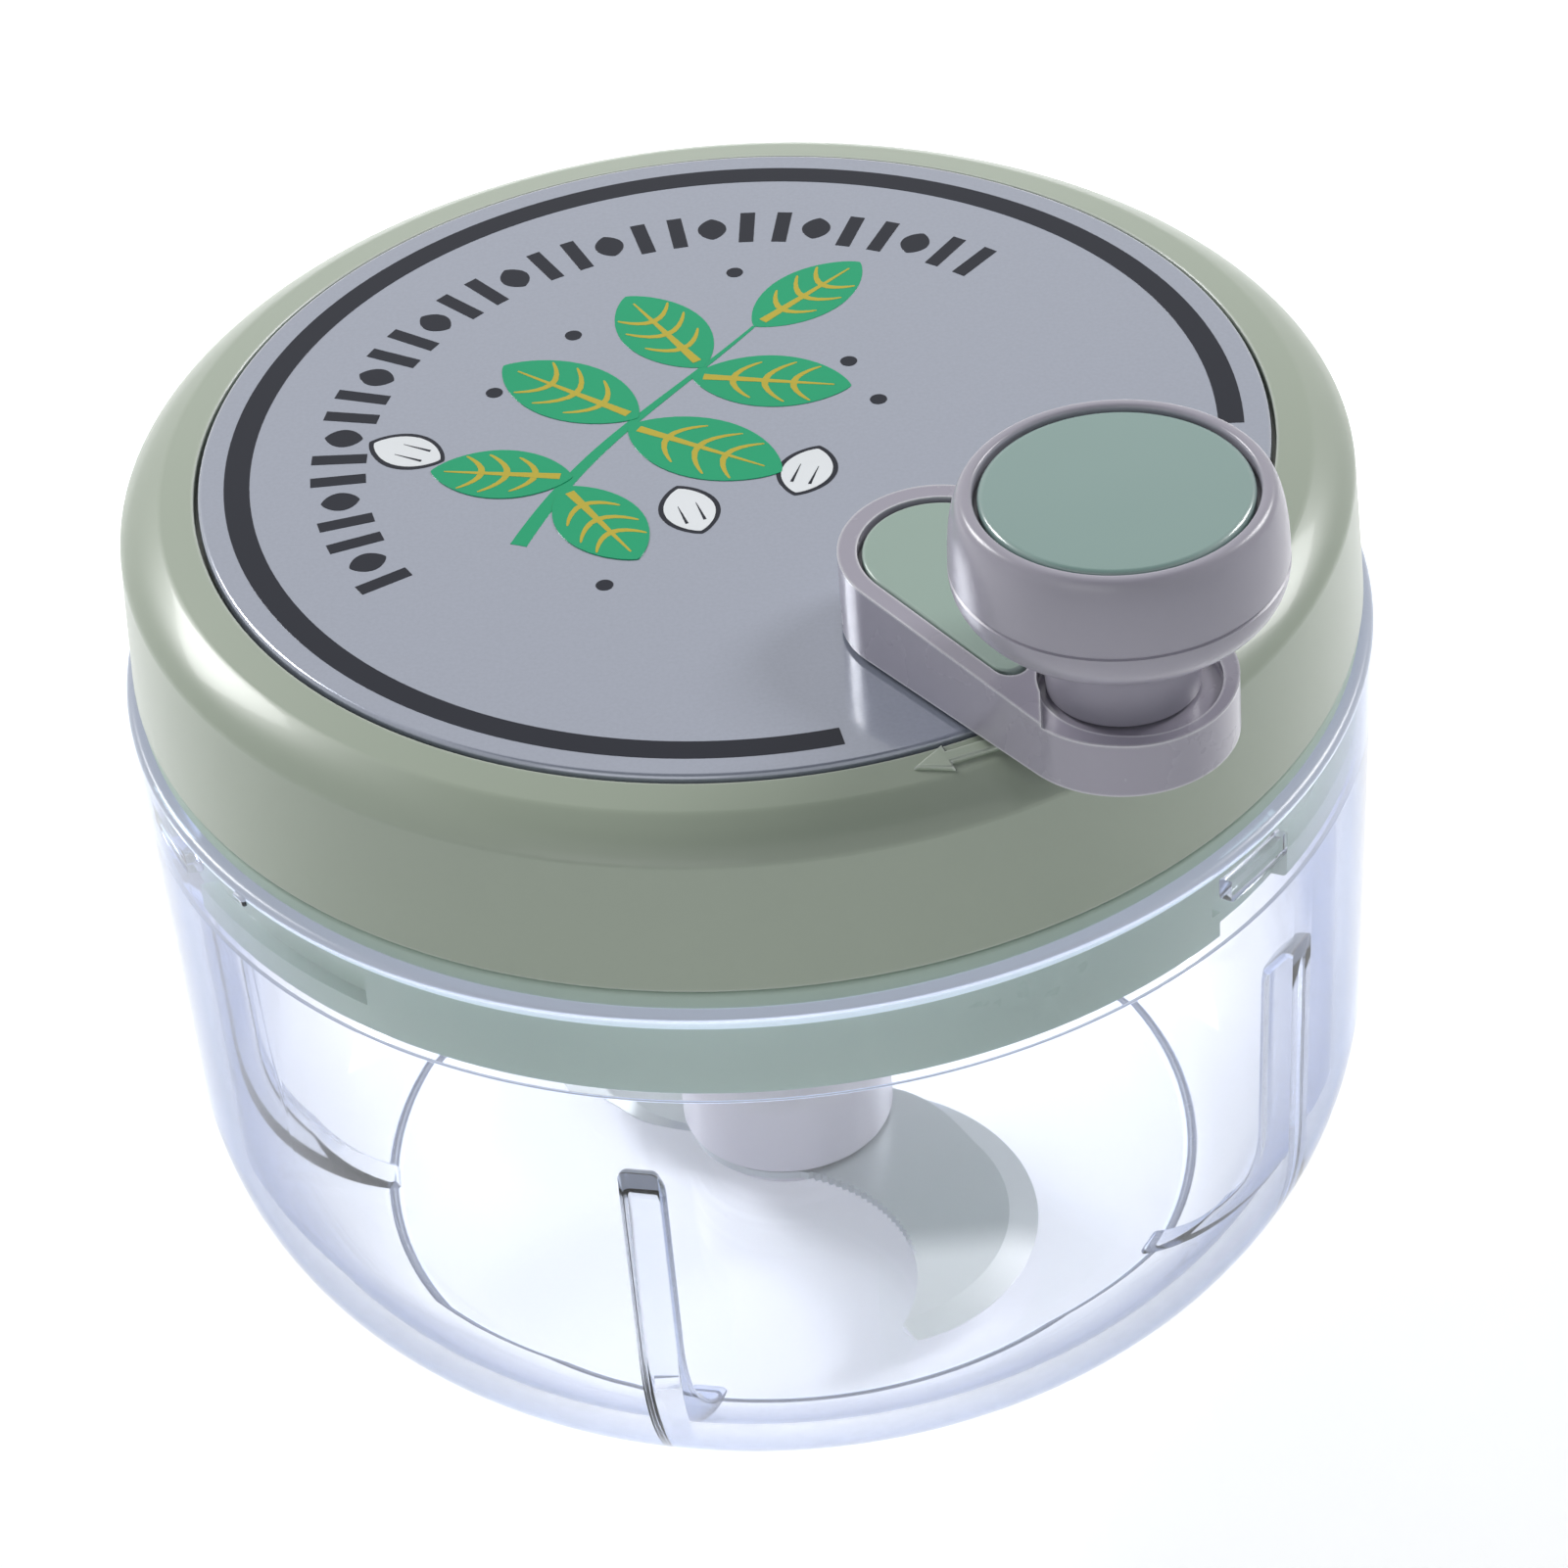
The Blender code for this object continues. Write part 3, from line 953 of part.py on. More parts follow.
def make_blade_unit(hub_mat, blade_mat, axis):
    """The hub that the drive shaft enters, the blade, and the cap that clamps it."""
    bore = PIN_RADIUS + RUNNING_GAP
    spigot = BLADE_HOLE_RADIUS - FACE_GAP
    skirt_top = HUB_BOTTOM + HUB_SKIRT_HEIGHT
    cone_top = skirt_top + HUB_CONE_HEIGHT
    edge = 0.6 * MM
    profile = [(0.0, HUB_BOTTOM), (HUB_RADIUS - edge, HUB_BOTTOM), (HUB_RADIUS, HUB_BOTTOM + edge),
               (HUB_RADIUS - edge, skirt_top), (HUB_TUBE_RADIUS, cone_top),
               (HUB_TUBE_RADIUS, HUB_TOP - edge), (HUB_TUBE_RADIUS - edge, HUB_TOP), (0.0, HUB_TOP)]
    hub = piece("blade_hub", turned(profile, 40), hub_mat, axis)
    cap_top = BLADE_BOTTOM + CAP_SPIGOT
    pockets = [tube(0.0, BLADE_HOLE_RADIUS, HUB_BOTTOM - OVERCUT, cap_top + FACE_GAP),
               prism(double_flat(SHAFT_RADIUS + FACE_GAP, SHAFT_FLAT + FACE_GAP),
                     HUB_TOP - SHAFT_IN_HUB - FACE_GAP, HUB_TOP + OVERCUT)]
    combine(hub, tool("hub_pockets", merged(pockets), axis))
    combine(hub, tool("hub_bore", tube(0.0, bore, HUB_BOTTOM - OVERCUT, PIN_TOP + FACE_GAP), axis))
    half = wing_outline()
    outline = half + [(-x, -y) for x, y in half]
    blade = piece("blade", prism(outline, BLADE_BOTTOM, BLADE_BOTTOM + BLADE_THICKNESS), blade_mat, axis)
    hole = tube(0.0, BLADE_HOLE_RADIUS, BLADE_BOTTOM - OVERCUT, BLADE_BOTTOM + OVERCUT)
    combine(blade, tool("blade_hole", hole, axis))
    flange_top = CAP_BOTTOM + CAP_FLANGE
    profile = [(bore, CAP_BOTTOM), (CAP_FLANGE_RADIUS, CAP_BOTTOM), (CAP_FLANGE_RADIUS, flange_top),
               (spigot, flange_top), (spigot, cap_top), (bore, cap_top)]
    piece("blade_cap", turned(profile), hub_mat, axis)


def main():
    """Build every piece on the axis that it moves about."""
    clear_scene()
    clear = finish("clear_bowl", (0.86, 0.91, 0.96), 0.03, clear=1.0)
    green = finish("green_shell", (0.42, 0.47, 0.40), 0.25)
    skirt_green = finish("green_skirt", (0.38, 0.48, 0.43), 0.3)
    soft_green = finish("green_seal", (0.40, 0.50, 0.44), 0.55)
    plate_grey = finish("grey_plate", (0.40, 0.42, 0.48), 0.22, 0.3)
    lilac = finish("lilac_plastic", (0.36, 0.34, 0.40), 0.28)
    inlay_green = finish("green_inlay", (0.34, 0.45, 0.41), 0.3)
    white = finish("white_plastic", (0.78, 0.77, 0.80), 0.35)
    steel = finish("steel", (0.62, 0.63, 0.65), 0.22, 1.0)
    nylon = finish("nylon", (0.80, 0.79, 0.74), 0.45)

    lid_axis = empty("lid_axis", (0.0, 0.0, 0.0))
    crank_axis = empty("crank_axis", CRANK_CENTRE, lid_axis, ARM_ANGLE)
    knob_axis = empty("knob_axis", (ARM_LENGTH, 0.0, 0.0), crank_axis)
    idler_axis = empty("idler_axis", IDLER_CENTRE, lid_axis)
    drive_axis = empty("drive_axis", (0.0, 0.0, 0.0), lid_axis)

    make_bowl(clear)
    make_centre_pin(steel)
    make_seal_ring(soft_green, lid_axis)
    make_lid_shell(green, lid_axis)
    make_top_plate(plate_grey, lid_axis)
    make_inner_cover(skirt_green, lid_axis)
    make_cover_screws(steel, lid_axis)
    make_crank_bearing(nylon, lid_axis)
    make_crank_spindle(nylon, crank_axis)
    make_crank_gear(white, crank_axis)
    make_crank_fasteners(steel, steel, crank_axis)
    make_arm(lilac, inlay_green, crank_axis)
    make_knob(lilac, inlay_green, steel, crank_axis, knob_axis)
    make_idler(white, steel, lid_axis, idler_axis)
    make_drive(steel, white, drive_axis)
    make_drive_bearing(nylon, soft_green, lid_axis)
    make_blade_unit(white, steel, drive_axis)


main()
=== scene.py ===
"""Finished surfaces for a hand cranked garlic chopper, built round its frame.

Metres, +Z up, in the frame's own axes: the origin is the middle of the bowl's foot
and -Y is the front. Each piece sits at the origin with its place in its mesh.
"""

import math

import bmesh
import bpy
from bpy.props import FloatProperty, FloatVectorProperty, IntProperty, PointerProperty
from mathutils import Matrix, Vector
from mathutils.geometry import interpolate_bezier


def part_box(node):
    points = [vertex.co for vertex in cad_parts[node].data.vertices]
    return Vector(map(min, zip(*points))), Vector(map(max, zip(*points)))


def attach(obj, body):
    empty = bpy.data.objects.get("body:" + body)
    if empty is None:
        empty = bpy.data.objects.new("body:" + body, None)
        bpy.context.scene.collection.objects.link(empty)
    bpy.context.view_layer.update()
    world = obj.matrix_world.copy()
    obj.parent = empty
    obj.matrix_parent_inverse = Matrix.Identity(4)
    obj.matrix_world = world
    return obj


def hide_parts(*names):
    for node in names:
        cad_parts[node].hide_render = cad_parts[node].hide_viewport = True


bl_info = {
    "name": "Garlic chopper surfaces",
    "version": (1, 0, 0),
    "blender": (4, 5, 0),
    "location": "3D View > Sidebar > Chopper",
    "description": "Builds the clear bowl, green lid, crank and blade of a hand cranked chopper",
    "category": "Object",
}

MM = 0.001
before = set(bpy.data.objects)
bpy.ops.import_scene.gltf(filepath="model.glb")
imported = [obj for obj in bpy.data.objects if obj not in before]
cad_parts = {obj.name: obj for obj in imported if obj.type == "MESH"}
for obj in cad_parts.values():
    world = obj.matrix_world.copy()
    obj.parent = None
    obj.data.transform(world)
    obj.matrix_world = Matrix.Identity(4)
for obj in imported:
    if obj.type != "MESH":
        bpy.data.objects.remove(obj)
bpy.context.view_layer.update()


def axis_of(name):
    """The middle of a frame piece, seen from above."""
    low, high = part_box(name)
    return Vector(((low[0] + high[0]) / 2, (low[1] + high[1]) / 2, 0.0))


BOWL_LOW, BOWL_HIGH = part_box("bowl")
PLATE_LOW, PLATE_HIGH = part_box("top_plate")
SHELL_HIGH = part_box("lid_shell")[1]
SEAL_LOW, SEAL_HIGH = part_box("seal_ring")
COVER_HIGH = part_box("inner_cover")[1]
ARM_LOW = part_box("crank_arm")[0]
KNOB_LOW, KNOB_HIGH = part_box("knob_body")
CAP_LOW, CAP_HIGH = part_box("knob_cap")
HUB_LOW, HUB_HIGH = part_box("blade_hub")
BLADE_LOW, BLADE_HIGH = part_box("blade")
FOOT_LOW, FOOT_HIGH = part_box("blade_cap")
CRANK_AXIS = axis_of("crank_spindle")
IDLER_AXIS = axis_of("idler_axle")
KNOB_AXIS = axis_of("knob_body")
SCREW_AXES = [axis_of(f"cover_screw_{i}") for i in (1, 2, 3)]
ARM_REACH = (KNOB_AXIS - CRANK_AXIS).length
ARM_TURN = math.atan2(KNOB_AXIS.y - CRANK_AXIS.y, KNOB_AXIS.x - CRANK_AXIS.x)

# Sizes that several pieces share
LUGS = 3
LUG_TRAVEL = math.radians(25.0)
PIN_RADIUS = 2.4 * MM
SPIGOT_RADIUS = 5.0 * MM
SCREW_RADIUS = 1.8 * MM
BUSH_RADIUS = 7.3 * MM
AXLE_RADIUS = 2.8 * MM
SHAFT_RADIUS = 4.3 * MM
KNOB_PIN_RADIUS = 3.3 * MM
INK_LAYER = 0.03 * MM


def length(name, description, default):
    """A size in metres."""
    return FloatProperty(name=name, description=description, default=default, min=0.0,
                         subtype="DISTANCE", unit="LENGTH", precision=5)


def angle(name, description, degrees):
    """A turn, given here in degrees."""
    return FloatProperty(name=name, description=description, default=math.radians(degrees),
                         subtype="ANGLE", unit="ROTATION")


def colour(name, description, default):
    """A linear colour."""
    return FloatVectorProperty(name=name, description=description, default=default, size=3,
                               min=0.0, max=1.0, subtype="COLOR")


def offset(name, description, default):
    """A place along an axis, in metres, on either side."""
    return FloatProperty(name=name, description=description, default=default,
                         subtype="DISTANCE", unit="LENGTH")


def share(name, description, default, high=1.0):
    """A plain number from 0 up."""
    return FloatProperty(name=name, description=description, default=default, min=0.0, max=high)


class BowlSizes(bpy.types.PropertyGroup):
    tint: colour("Clear tint", "Colour of the clear bowl seen face on", (0.925, 0.930, 0.945))
    # Painted shade: the dark blue that the clear bowl is coloured where it is seen edge on
    edge_on_shade: colour("Edge on shade", "Colour of the clear bowl seen edge on", (0.15, 0.22, 0.48))
    # Painted glow: the colour and weak emission that light the marked rounded edges, as if they
    # gathered light
    painted_glow_colour: colour("Painted edge glow", "Colour of the rounded edges that gather light",
                        (0.74, 0.82, 1.0))
    depth_tint: colour("Depth tint", "Colour that the plastic takes with depth", (0.45, 0.52, 0.70))
    depth: FloatProperty(name="Depth", description="How fast it takes that colour, per metre",
                         default=45.0, min=0.0)
    wall: length("Wall", "Thickness of the bowl's side", 2.8 * MM)
    rim_wall: length("Rim wall", "Thickness above the ledge", 2.5 * MM)
    draft: length("Draft", "How much the side narrows down to its waist", 1.4 * MM)
    corner_run: length("Corner run", "How far the rounded bottom runs in", 22.8 * MM)
    corner_rise: length("Corner rise", "How high the rounded bottom rises", 25.4 * MM)
    foot: length("Foot height", "Height of the foot ring", 1.2 * MM)
    foot_lip: length("Foot lip", "How far the foot stands out from the flat bottom", 5.4 * MM)
    floor: length("Floor", "Thickness of the bowl's floor", 2.8 * MM)
    ledge: length("Ledge depth", "Depth of the ledge below the rim", 11.1 * MM)
    rib_width: length("Rib width", "Width of an inner rib", 3.8 * MM)
    rib_depth: length("Rib depth", "How far a rib stands in from the wall", 3.0 * MM)
    rib_bearing: angle("Rib bearing", "Bearing of the first rib", -104.0)
    ribs: IntProperty(name="Ribs", description="Number of inner ribs", default=5, min=1)
    lug_bearing: angle("Lug bearing", "Bearing of the first bayonet lug", -40.0)
    lug_depth: length("Lug depth", "How far a lug stands in from the rim", 1.7 * MM)
    lug_width: length("Lug width", "Width of a lug", 9.0 * MM)
    lug_height: length("Lug height", "Height of a lug", 2.6 * MM)
    lug_above_ledge: length("Lug above ledge", "Height of a lug above the ledge", 4.4 * MM)


class LidSizes(bpy.types.PropertyGroup):
    shell: colour("Shell colour", "Moulded plastic of the lid", (0.350, 0.400, 0.318))
    skirt: colour("Skirt colour", "Moulded plastic of the inner cover", (0.365, 0.490, 0.415))
    seal: colour("Seal colour", "Soft ring between lid and bowl", (0.40, 0.50, 0.43))
    shoulder_run: length("Shoulder run", "Width of the sloping shoulder", 4.1 * MM)
    shoulder_rise: length("Shoulder rise", "Height of the sloping shoulder", 3.0 * MM)
    rim_run: length("Rim run", "Width of the lid's rim round the plate", 3.5 * MM)
    rim_rise: length("Rim rise", "How much the rim rises towards the plate", 0.7 * MM)
    draft: length("Draft", "How much the lid's side widens downwards", 0.7 * MM)
    crease: length("Crease", "Rounding of the shoulder's creases", 0.3 * MM)
    arrow_length: length("Arrow length", "Length of the raised arrow", 8.5 * MM)
    arrow_width: length("Arrow width", "Width of the arrow's head", 3.2 * MM)
    arrow_bearing: angle("Arrow bearing", "Where the arrow stands on the rim", -70.5)


class PlateSizes(bpy.types.PropertyGroup):
    base: colour("Plate colour", "Silver grey of the plate", (0.312, 0.338, 0.413))
    black: colour("Black ink", "Ink of the ring and the marks", (0.012, 0.014, 0.024))
    green: colour("Green ink", "Ink of the leaves", (0.012, 0.360, 0.165))
    yellow: colour("Yellow ink", "Ink of the leaf veins", (0.520, 0.420, 0.045))
    white: colour("White ink", "Ink of the cloves", (0.80, 0.82, 0.84))
    ring_inner: length("Ring inner radius", "Inner radius of the printed ring", 46.9 * MM)
    ring_outer: length("Ring outer radius", "Outer radius of the printed ring", 49.4 * MM)
    ring_start: angle("Ring start", "Bearing of the ring's front end", -80.6)
    ring_sweep: angle("Ring sweep", "How far the ring runs round", 283.4)
    mark_inner: length("Mark inner radius", "Inner radius of the marks", 35.6 * MM)
    mark_outer: length("Mark outer radius", "Outer radius of the marks", 41.0 * MM)
    marks: IntProperty(name="Marks", description="Number of printed marks", default=31, min=2)


class CrankSizes(bpy.types.PropertyGroup):
    plastic: colour("Crank colour", "Lilac grey plastic of the arm and knob", (0.350, 0.328, 0.392))
    inlay: colour("Inlay colour", "Green plastic of the arm's inlay", (0.300, 0.405, 0.345))
    cap: colour("Cap colour", "Green plastic of the knob's cap", (0.225, 0.340, 0.312))
    pivot_end: length("Pivot end radius", "Radius of the arm's end at its pivot", 9.65 * MM)
    knob_end: length("Knob end radius", "Radius of the arm's end at the knob", 10.45 * MM)
    height: length("Arm height", "Height of the arm at its pivot", 7.6 * MM)
    slope: share("Arm slope", "How much the arm's top falls on its way to the knob", 0.062)
    drop: length("Platform drop", "How far the arm's end is lowered round the knob", 1.9 * MM)
    scoop: length("Scoop radius", "Radius of the scoop round the knob's foot", 7.5 * MM)
    scoop_turn: angle("Scoop turn", "Half the part of the scoop that is round", 54.0)
    flare: share("Scoop flare", "How fast the scoop opens to the sides", 1.1, 4.0)
    well: length("Well radius", "Radius of the well round the knob's foot", 8.35 * MM)
    well_past: length("Well past knob", "How far the well's middle lies past the knob", 0.9 * MM)
    well_depth: length("Well depth", "Depth of that well", 0.9 * MM)
    inlay_inset: length("Inlay inset", "How far the inlay lies inside the arm's outline", 2.25 * MM)
    inlay_gap: length("Inlay gap", "Groove between the inlay and the arm", 0.42 * MM)
    inlay_end: length("Inlay to scoop", "Width of the arm between inlay and scoop", 1.35 * MM)
    inlay_recess: length("Inlay recess", "Depth of the recess under the inlay", 1.6 * MM)
    inlay_round: length("Inlay corner", "Rounding of the inlay's corners", 1.7 * MM)
    arm_edge: length("Arm edge", "Rounding of the arm's edges", 0.42 * MM)
    knob_lip: length("Knob lip", "Width of the knob's rim round its cap", 1.65 * MM)
    groove: length("Cap groove", "Gap between the knob's rim and its cap", 0.42 * MM)


class BladeSizes(bpy.types.PropertyGroup):
    hub: colour("Hub colour", "White plastic of the blade's hub", (0.62, 0.60, 0.66))
    steel: colour("Blade steel", "Ground steel of the blade", (0.46, 0.49, 0.51))
    # Painted highlight: the blade is coloured brighter towards its tips
    tip_highlight: colour("Tip highlight", "Brighter steel towards the tips", (0.95, 0.95, 0.97))
    edge_centre_x: offset("Edge centre X", "Middle of the cutting arc", 4.5 * MM)
    edge_centre_y: offset("Edge centre Y", "Middle of the cutting arc", -17.5 * MM)
    edge_radius: length("Edge radius", "Radius of the cutting arc", 20.2 * MM)
    back_centre_x: offset("Back centre X", "Middle of the hollow back", -5.5 * MM)
    back_centre_y: offset("Back centre Y", "Middle of the hollow back", -26.5 * MM)
    back_radius: length("Back radius", "Radius of the hollow back", 17.2 * MM)
    waist: length("Waist", "Radius of the blade's middle", 10.5 * MM)
    tip: length("Tip cut", "Width taken off each side of the tip", 3.4 * MM)
    bevel: length("Ground bevel", "Width of the ground cutting bevel", 2.9 * MM)
    tooth: length("Tooth", "Depth of the small teeth on the hollow back", 0.32 * MM)


class StageSettings(bpy.types.PropertyGroup):
    key: share("Key lamp", "Power of the lamp behind on the left, in watts", 14.5, 100.0)
    fill: share("Fill lamp", "Power of the lamp behind on the right, in watts", 11.0, 100.0)
    front: share("Front lamp", "Power of the weak lamp in front, in watts", 2.2, 100.0)
    room: colour("Room light", "Colour of the room's light", (0.88, 0.95, 1.0))
    ambient: share("Ambient", "Brightness of the room's light at the horizon", 0.58, 4.0)
    zenith: share("Zenith", "Brightness overhead, as a share of that", 0.2)
    floor: share("Floor glow", "How far the floor is lifted to white", 0.42, 4.0)
    lens: share("Lens", "Focal length in millimetres", 134.9, 400.0)


GROUPS = {"chopper_bowl": BowlSizes, "chopper_lid": LidSizes, "chopper_plate": PlateSizes,
          "chopper_crank": CrankSizes, "chopper_blade": BladeSizes, "chopper_stage": StageSettings}


# Mesh tools

def turned(points, steps, centre=(0.0, 0.0)):
    """Spin a closed outline of (radius, height) points about an upright axis."""
    bm = bmesh.new()
    verts = [bm.verts.new((radius, 0.0, height)) for radius, height in points]
    edges = [bm.edges.new(pair) for pair in zip(verts, verts[1:])]
    if verts[0].co.x > 0.0 or verts[-1].co.x > 0.0:
        edges.append(bm.edges.new((verts[-1], verts[0])))
    bmesh.ops.spin(bm, geom=verts + edges, cent=(0, 0, 0), axis=(0, 0, 1), angle=math.tau,
                   steps=steps, use_merge=True)
    bmesh.ops.remove_doubles(bm, verts=bm.verts, dist=1e-7)
    bmesh.ops.recalc_face_normals(bm, faces=bm.faces)
    bmesh.ops.translate(bm, verts=bm.verts, vec=(centre[0], centre[1], 0.0))
    return bm


def rod(radius, bottom, top, steps, centre=(0.0, 0.0)):
    """A round solid with flat ends, for a boss, a bore or a disc."""
    return turned([(0.0, bottom), (radius, bottom), (radius, top), (0.0, top)], steps, centre)


def grown(bm):
    """Extrude all faces where they are, and give the new points."""
    result = bmesh.ops.extrude_face_region(bm, geom=list(bm.faces))["geom"]
    return [item for item in result if isinstance(item, bmesh.types.BMVert)]


def raised(outline, bottom, top):
    """Raise a flat outline of (x, y) points into a solid."""
    bm = bmesh.new()
    bm.faces.new([bm.verts.new((x, y, bottom)) for x, y in outline])
    bmesh.ops.translate(bm, verts=grown(bm), vec=(0.0, 0.0, top - bottom))
    bmesh.ops.recalc_face_normals(bm, faces=bm.faces)
    return bm


def swung(bm, turn, axis="Z"):
    """Turn a bmesh about an axis through the origin."""
    bmesh.ops.rotate(bm, verts=bm.verts, cent=(0, 0, 0), matrix=Matrix.Rotation(turn, 3, axis))
    return bm


def moved(bm, turn, place=(0.0, 0.0, 0.0)):
    """Turn a bmesh about the upright axis, then move it."""
    bmesh.ops.translate(swung(bm, turn), verts=bm.verts, vec=place)
    return bm


def upright(outline, width, bearing):
    """Raise a side view of (radius, height) points to a width, and turn it to a bearing."""
    return swung(swung(raised(outline, -width / 2, width / 2), math.pi / 2, "X"), bearing)


def higher_than(height):
    """A test for edges that lie above a height."""
    return lambda edge: min(vert.co.z for vert in edge.verts) > height


def lower_than(height):
    """A test for edges that lie below a height."""
    return lambda edge: max(vert.co.z for vert in edge.verts) < height


def level_with(height):
    """A test for edges that run round at a height."""
    return lambda edge: all(abs(vert.co.z - height) < 0.05 * MM for vert in edge.verts)


def soften(bm, width, segments, corner=25.0, where=None):
    """Bevel the edges that are sharper than a corner, in degrees, and that pass a test."""
    bm.normal_update()
    limit = math.radians(corner)
    edges = [edge for edge in bm.edges if len(edge.link_faces) == 2
             and edge.calc_face_angle(0.0) > limit and (where is None or where(edge))]
    bmesh.ops.bevel(bm, geom=edges, offset=width, offset_type="OFFSET", segments=segments,
                    profile=0.5, affect="EDGES", clamp_overlap=True, material=-1)
    return bm


def together(shapes):
    """Several closed shapes in one bmesh."""
    whole = bmesh.new()
    for bm in shapes:
        holder = bpy.data.meshes.new("holder")
        bm.to_mesh(holder)
        bm.free()
        whole.from_mesh(holder)
        bpy.data.meshes.remove(holder)
    return whole


def mesh_object(name, bm):
    """A linked object from a bmesh."""
    mesh = bpy.data.meshes.new(name)
    bm.to_mesh(mesh)
    bm.free()
    item = bpy.data.objects.new(name, mesh)
    bpy.context.scene.collection.objects.link(item)
    return item


def carved(bm, other, operation="DIFFERENCE"):
    """The bmesh cut or joined with another, which is used up."""
    body = mesh_object("body_shape", bm)
    tool = mesh_object("tool_shape", other)
    step = body.modifiers.new("step", "BOOLEAN")
    step.operation = operation
    step.solver = "EXACT"
    step.object = tool
    graph = bpy.context.evaluated_depsgraph_get()
    result = bmesh.new()
    result.from_mesh(body.evaluated_get(graph).to_mesh())
    for item in (body, tool):
        mesh = item.data
        bpy.data.objects.remove(item)
        bpy.data.meshes.remove(mesh)
    bmesh.ops.remove_doubles(result, verts=result.verts, dist=1e-6)
    bmesh.ops.dissolve_degenerate(result, edges=result.edges, dist=1e-6)
    return result


def piece(name, bm, body, material, stands_for=(), sharp=38.0):
    """A finished piece that rides on a body of the frame."""
    bmesh.ops.recalc_face_normals(bm, faces=bm.faces)
    item = mesh_object(name, bm)
    item.data.shade_smooth()
    item.data.set_sharp_from_angle(angle=math.radians(sharp))
    shading = item.modifiers.new("shading", "WEIGHTED_NORMAL")
    shading.keep_sharp = True
    shading.weight = 100
    item.data.materials.append(material)
    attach(item, body)
    if stands_for:
        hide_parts(*stands_for)
    return item


def polar(centre, radius, bearing):
    """The point at a distance and bearing from a centre."""
    return centre[0] + radius * math.cos(bearing), centre[1] + radius * math.sin(bearing)


def arc(centre, radius, start, end, steps):
    """Points along an arc, both ends included."""
    return [polar(centre, radius, start + (end - start) * i / steps) for i in range(steps + 1)]


def bend(start, start_handle, end_handle, end, steps):
    """Points along a Bezier bend of (radius, height) points."""
    knots = [Vector((x, y, 0.0)) for x, y in (start, start_handle, end_handle, end)]
    return [(p.x, p.y) for p in interpolate_bezier(*knots, steps)]


def flat_double(radius, flat):
    """A round outline with two flat sides, along X."""
    reach = math.pi / 2 - math.acos(flat / radius)
    return (arc((0, 0), radius, -reach, reach, 10)
            + arc((0, 0), radius, math.pi - reach, math.pi + reach, 10))


# Materials

def blank(name):
    """A new material with its nodes, links and shader."""
    material = bpy.data.materials.new(name)
    material.use_nodes = True
    nodes = material.node_tree.nodes
    return material, nodes, material.node_tree.links, nodes["Principled BSDF"]


def noise(nodes, links, scale, detail, stretch=None):
    """A noise pattern on the piece's own coordinates."""
    coords = nodes.new("ShaderNodeTexCoord")
    texture = nodes.new("ShaderNodeTexNoise")
    texture.inputs["Scale"].default_value = scale
    texture.inputs["Detail"].default_value = detail
    source = coords.outputs["Object"]
    if stretch:
        mapping = nodes.new("ShaderNodeMapping")
        mapping.inputs["Scale"].default_value = stretch
        links.new(source, mapping.inputs["Vector"])
        source = mapping.outputs["Vector"]
    links.new(source, texture.inputs["Vector"])
    return texture.outputs["Fac"]


def ranged(nodes, links, value, start, end, low=0.0, high=1.0, kind="LINEAR"):
    """Map a value from one range to another, and clip it at the ends."""
    node = nodes.new("ShaderNodeMapRange")
    node.interpolation_type = kind
    for key, number in (("From Min", start), ("From Max", end), ("To Min", low), ("To Max", high)):
        node.inputs[key].default_value = number
    links.new(value, node.inputs["Value"])
    return node.outputs["Result"]


def spread(nodes, links, value, low, high):
    """Map a noise pattern, whose peaks reach from 0.12 to 0.88, to a range."""
    return ranged(nodes, links, value, 0.12, 0.88, low, high)


def times(nodes, links, value, factor):
    """A value multiplied by a number."""
    node = nodes.new("ShaderNodeMath")
    node.operation = "MULTIPLY"
    node.inputs[1].default_value = factor
    links.new(value, node.inputs[0])
    return node.outputs[0]


def tinted(nodes, links, factor, first, second):
    """A mix of a colour, or another node's output, with a second colour."""
    mix = nodes.new("ShaderNodeMix")
    mix.data_type = "RGBA"
    if isinstance(first, bpy.types.NodeSocket):
        links.new(first, mix.inputs["A"])
    else:
        mix.inputs["A"].default_value = (*first, 1.0)
    mix.inputs["B"].default_value = (*second, 1.0)
    links.new(factor, mix.inputs["Factor"])
    return mix.outputs["Result"]


def relief(nodes, links, shader, height, strength, distance):
    """A bump on the shader's normal."""
    bump = nodes.new("ShaderNodeBump")
    bump.inputs["Strength"].default_value = strength
    bump.inputs["Distance"].default_value = distance
    links.new(height, bump.inputs["Height"])
    links.new(bump.outputs["Normal"], shader.inputs["Normal"])


def scaled(tone, factor):
    """A colour made lighter or darker."""
    return tuple(min(1.0, part * factor) for part in tone)


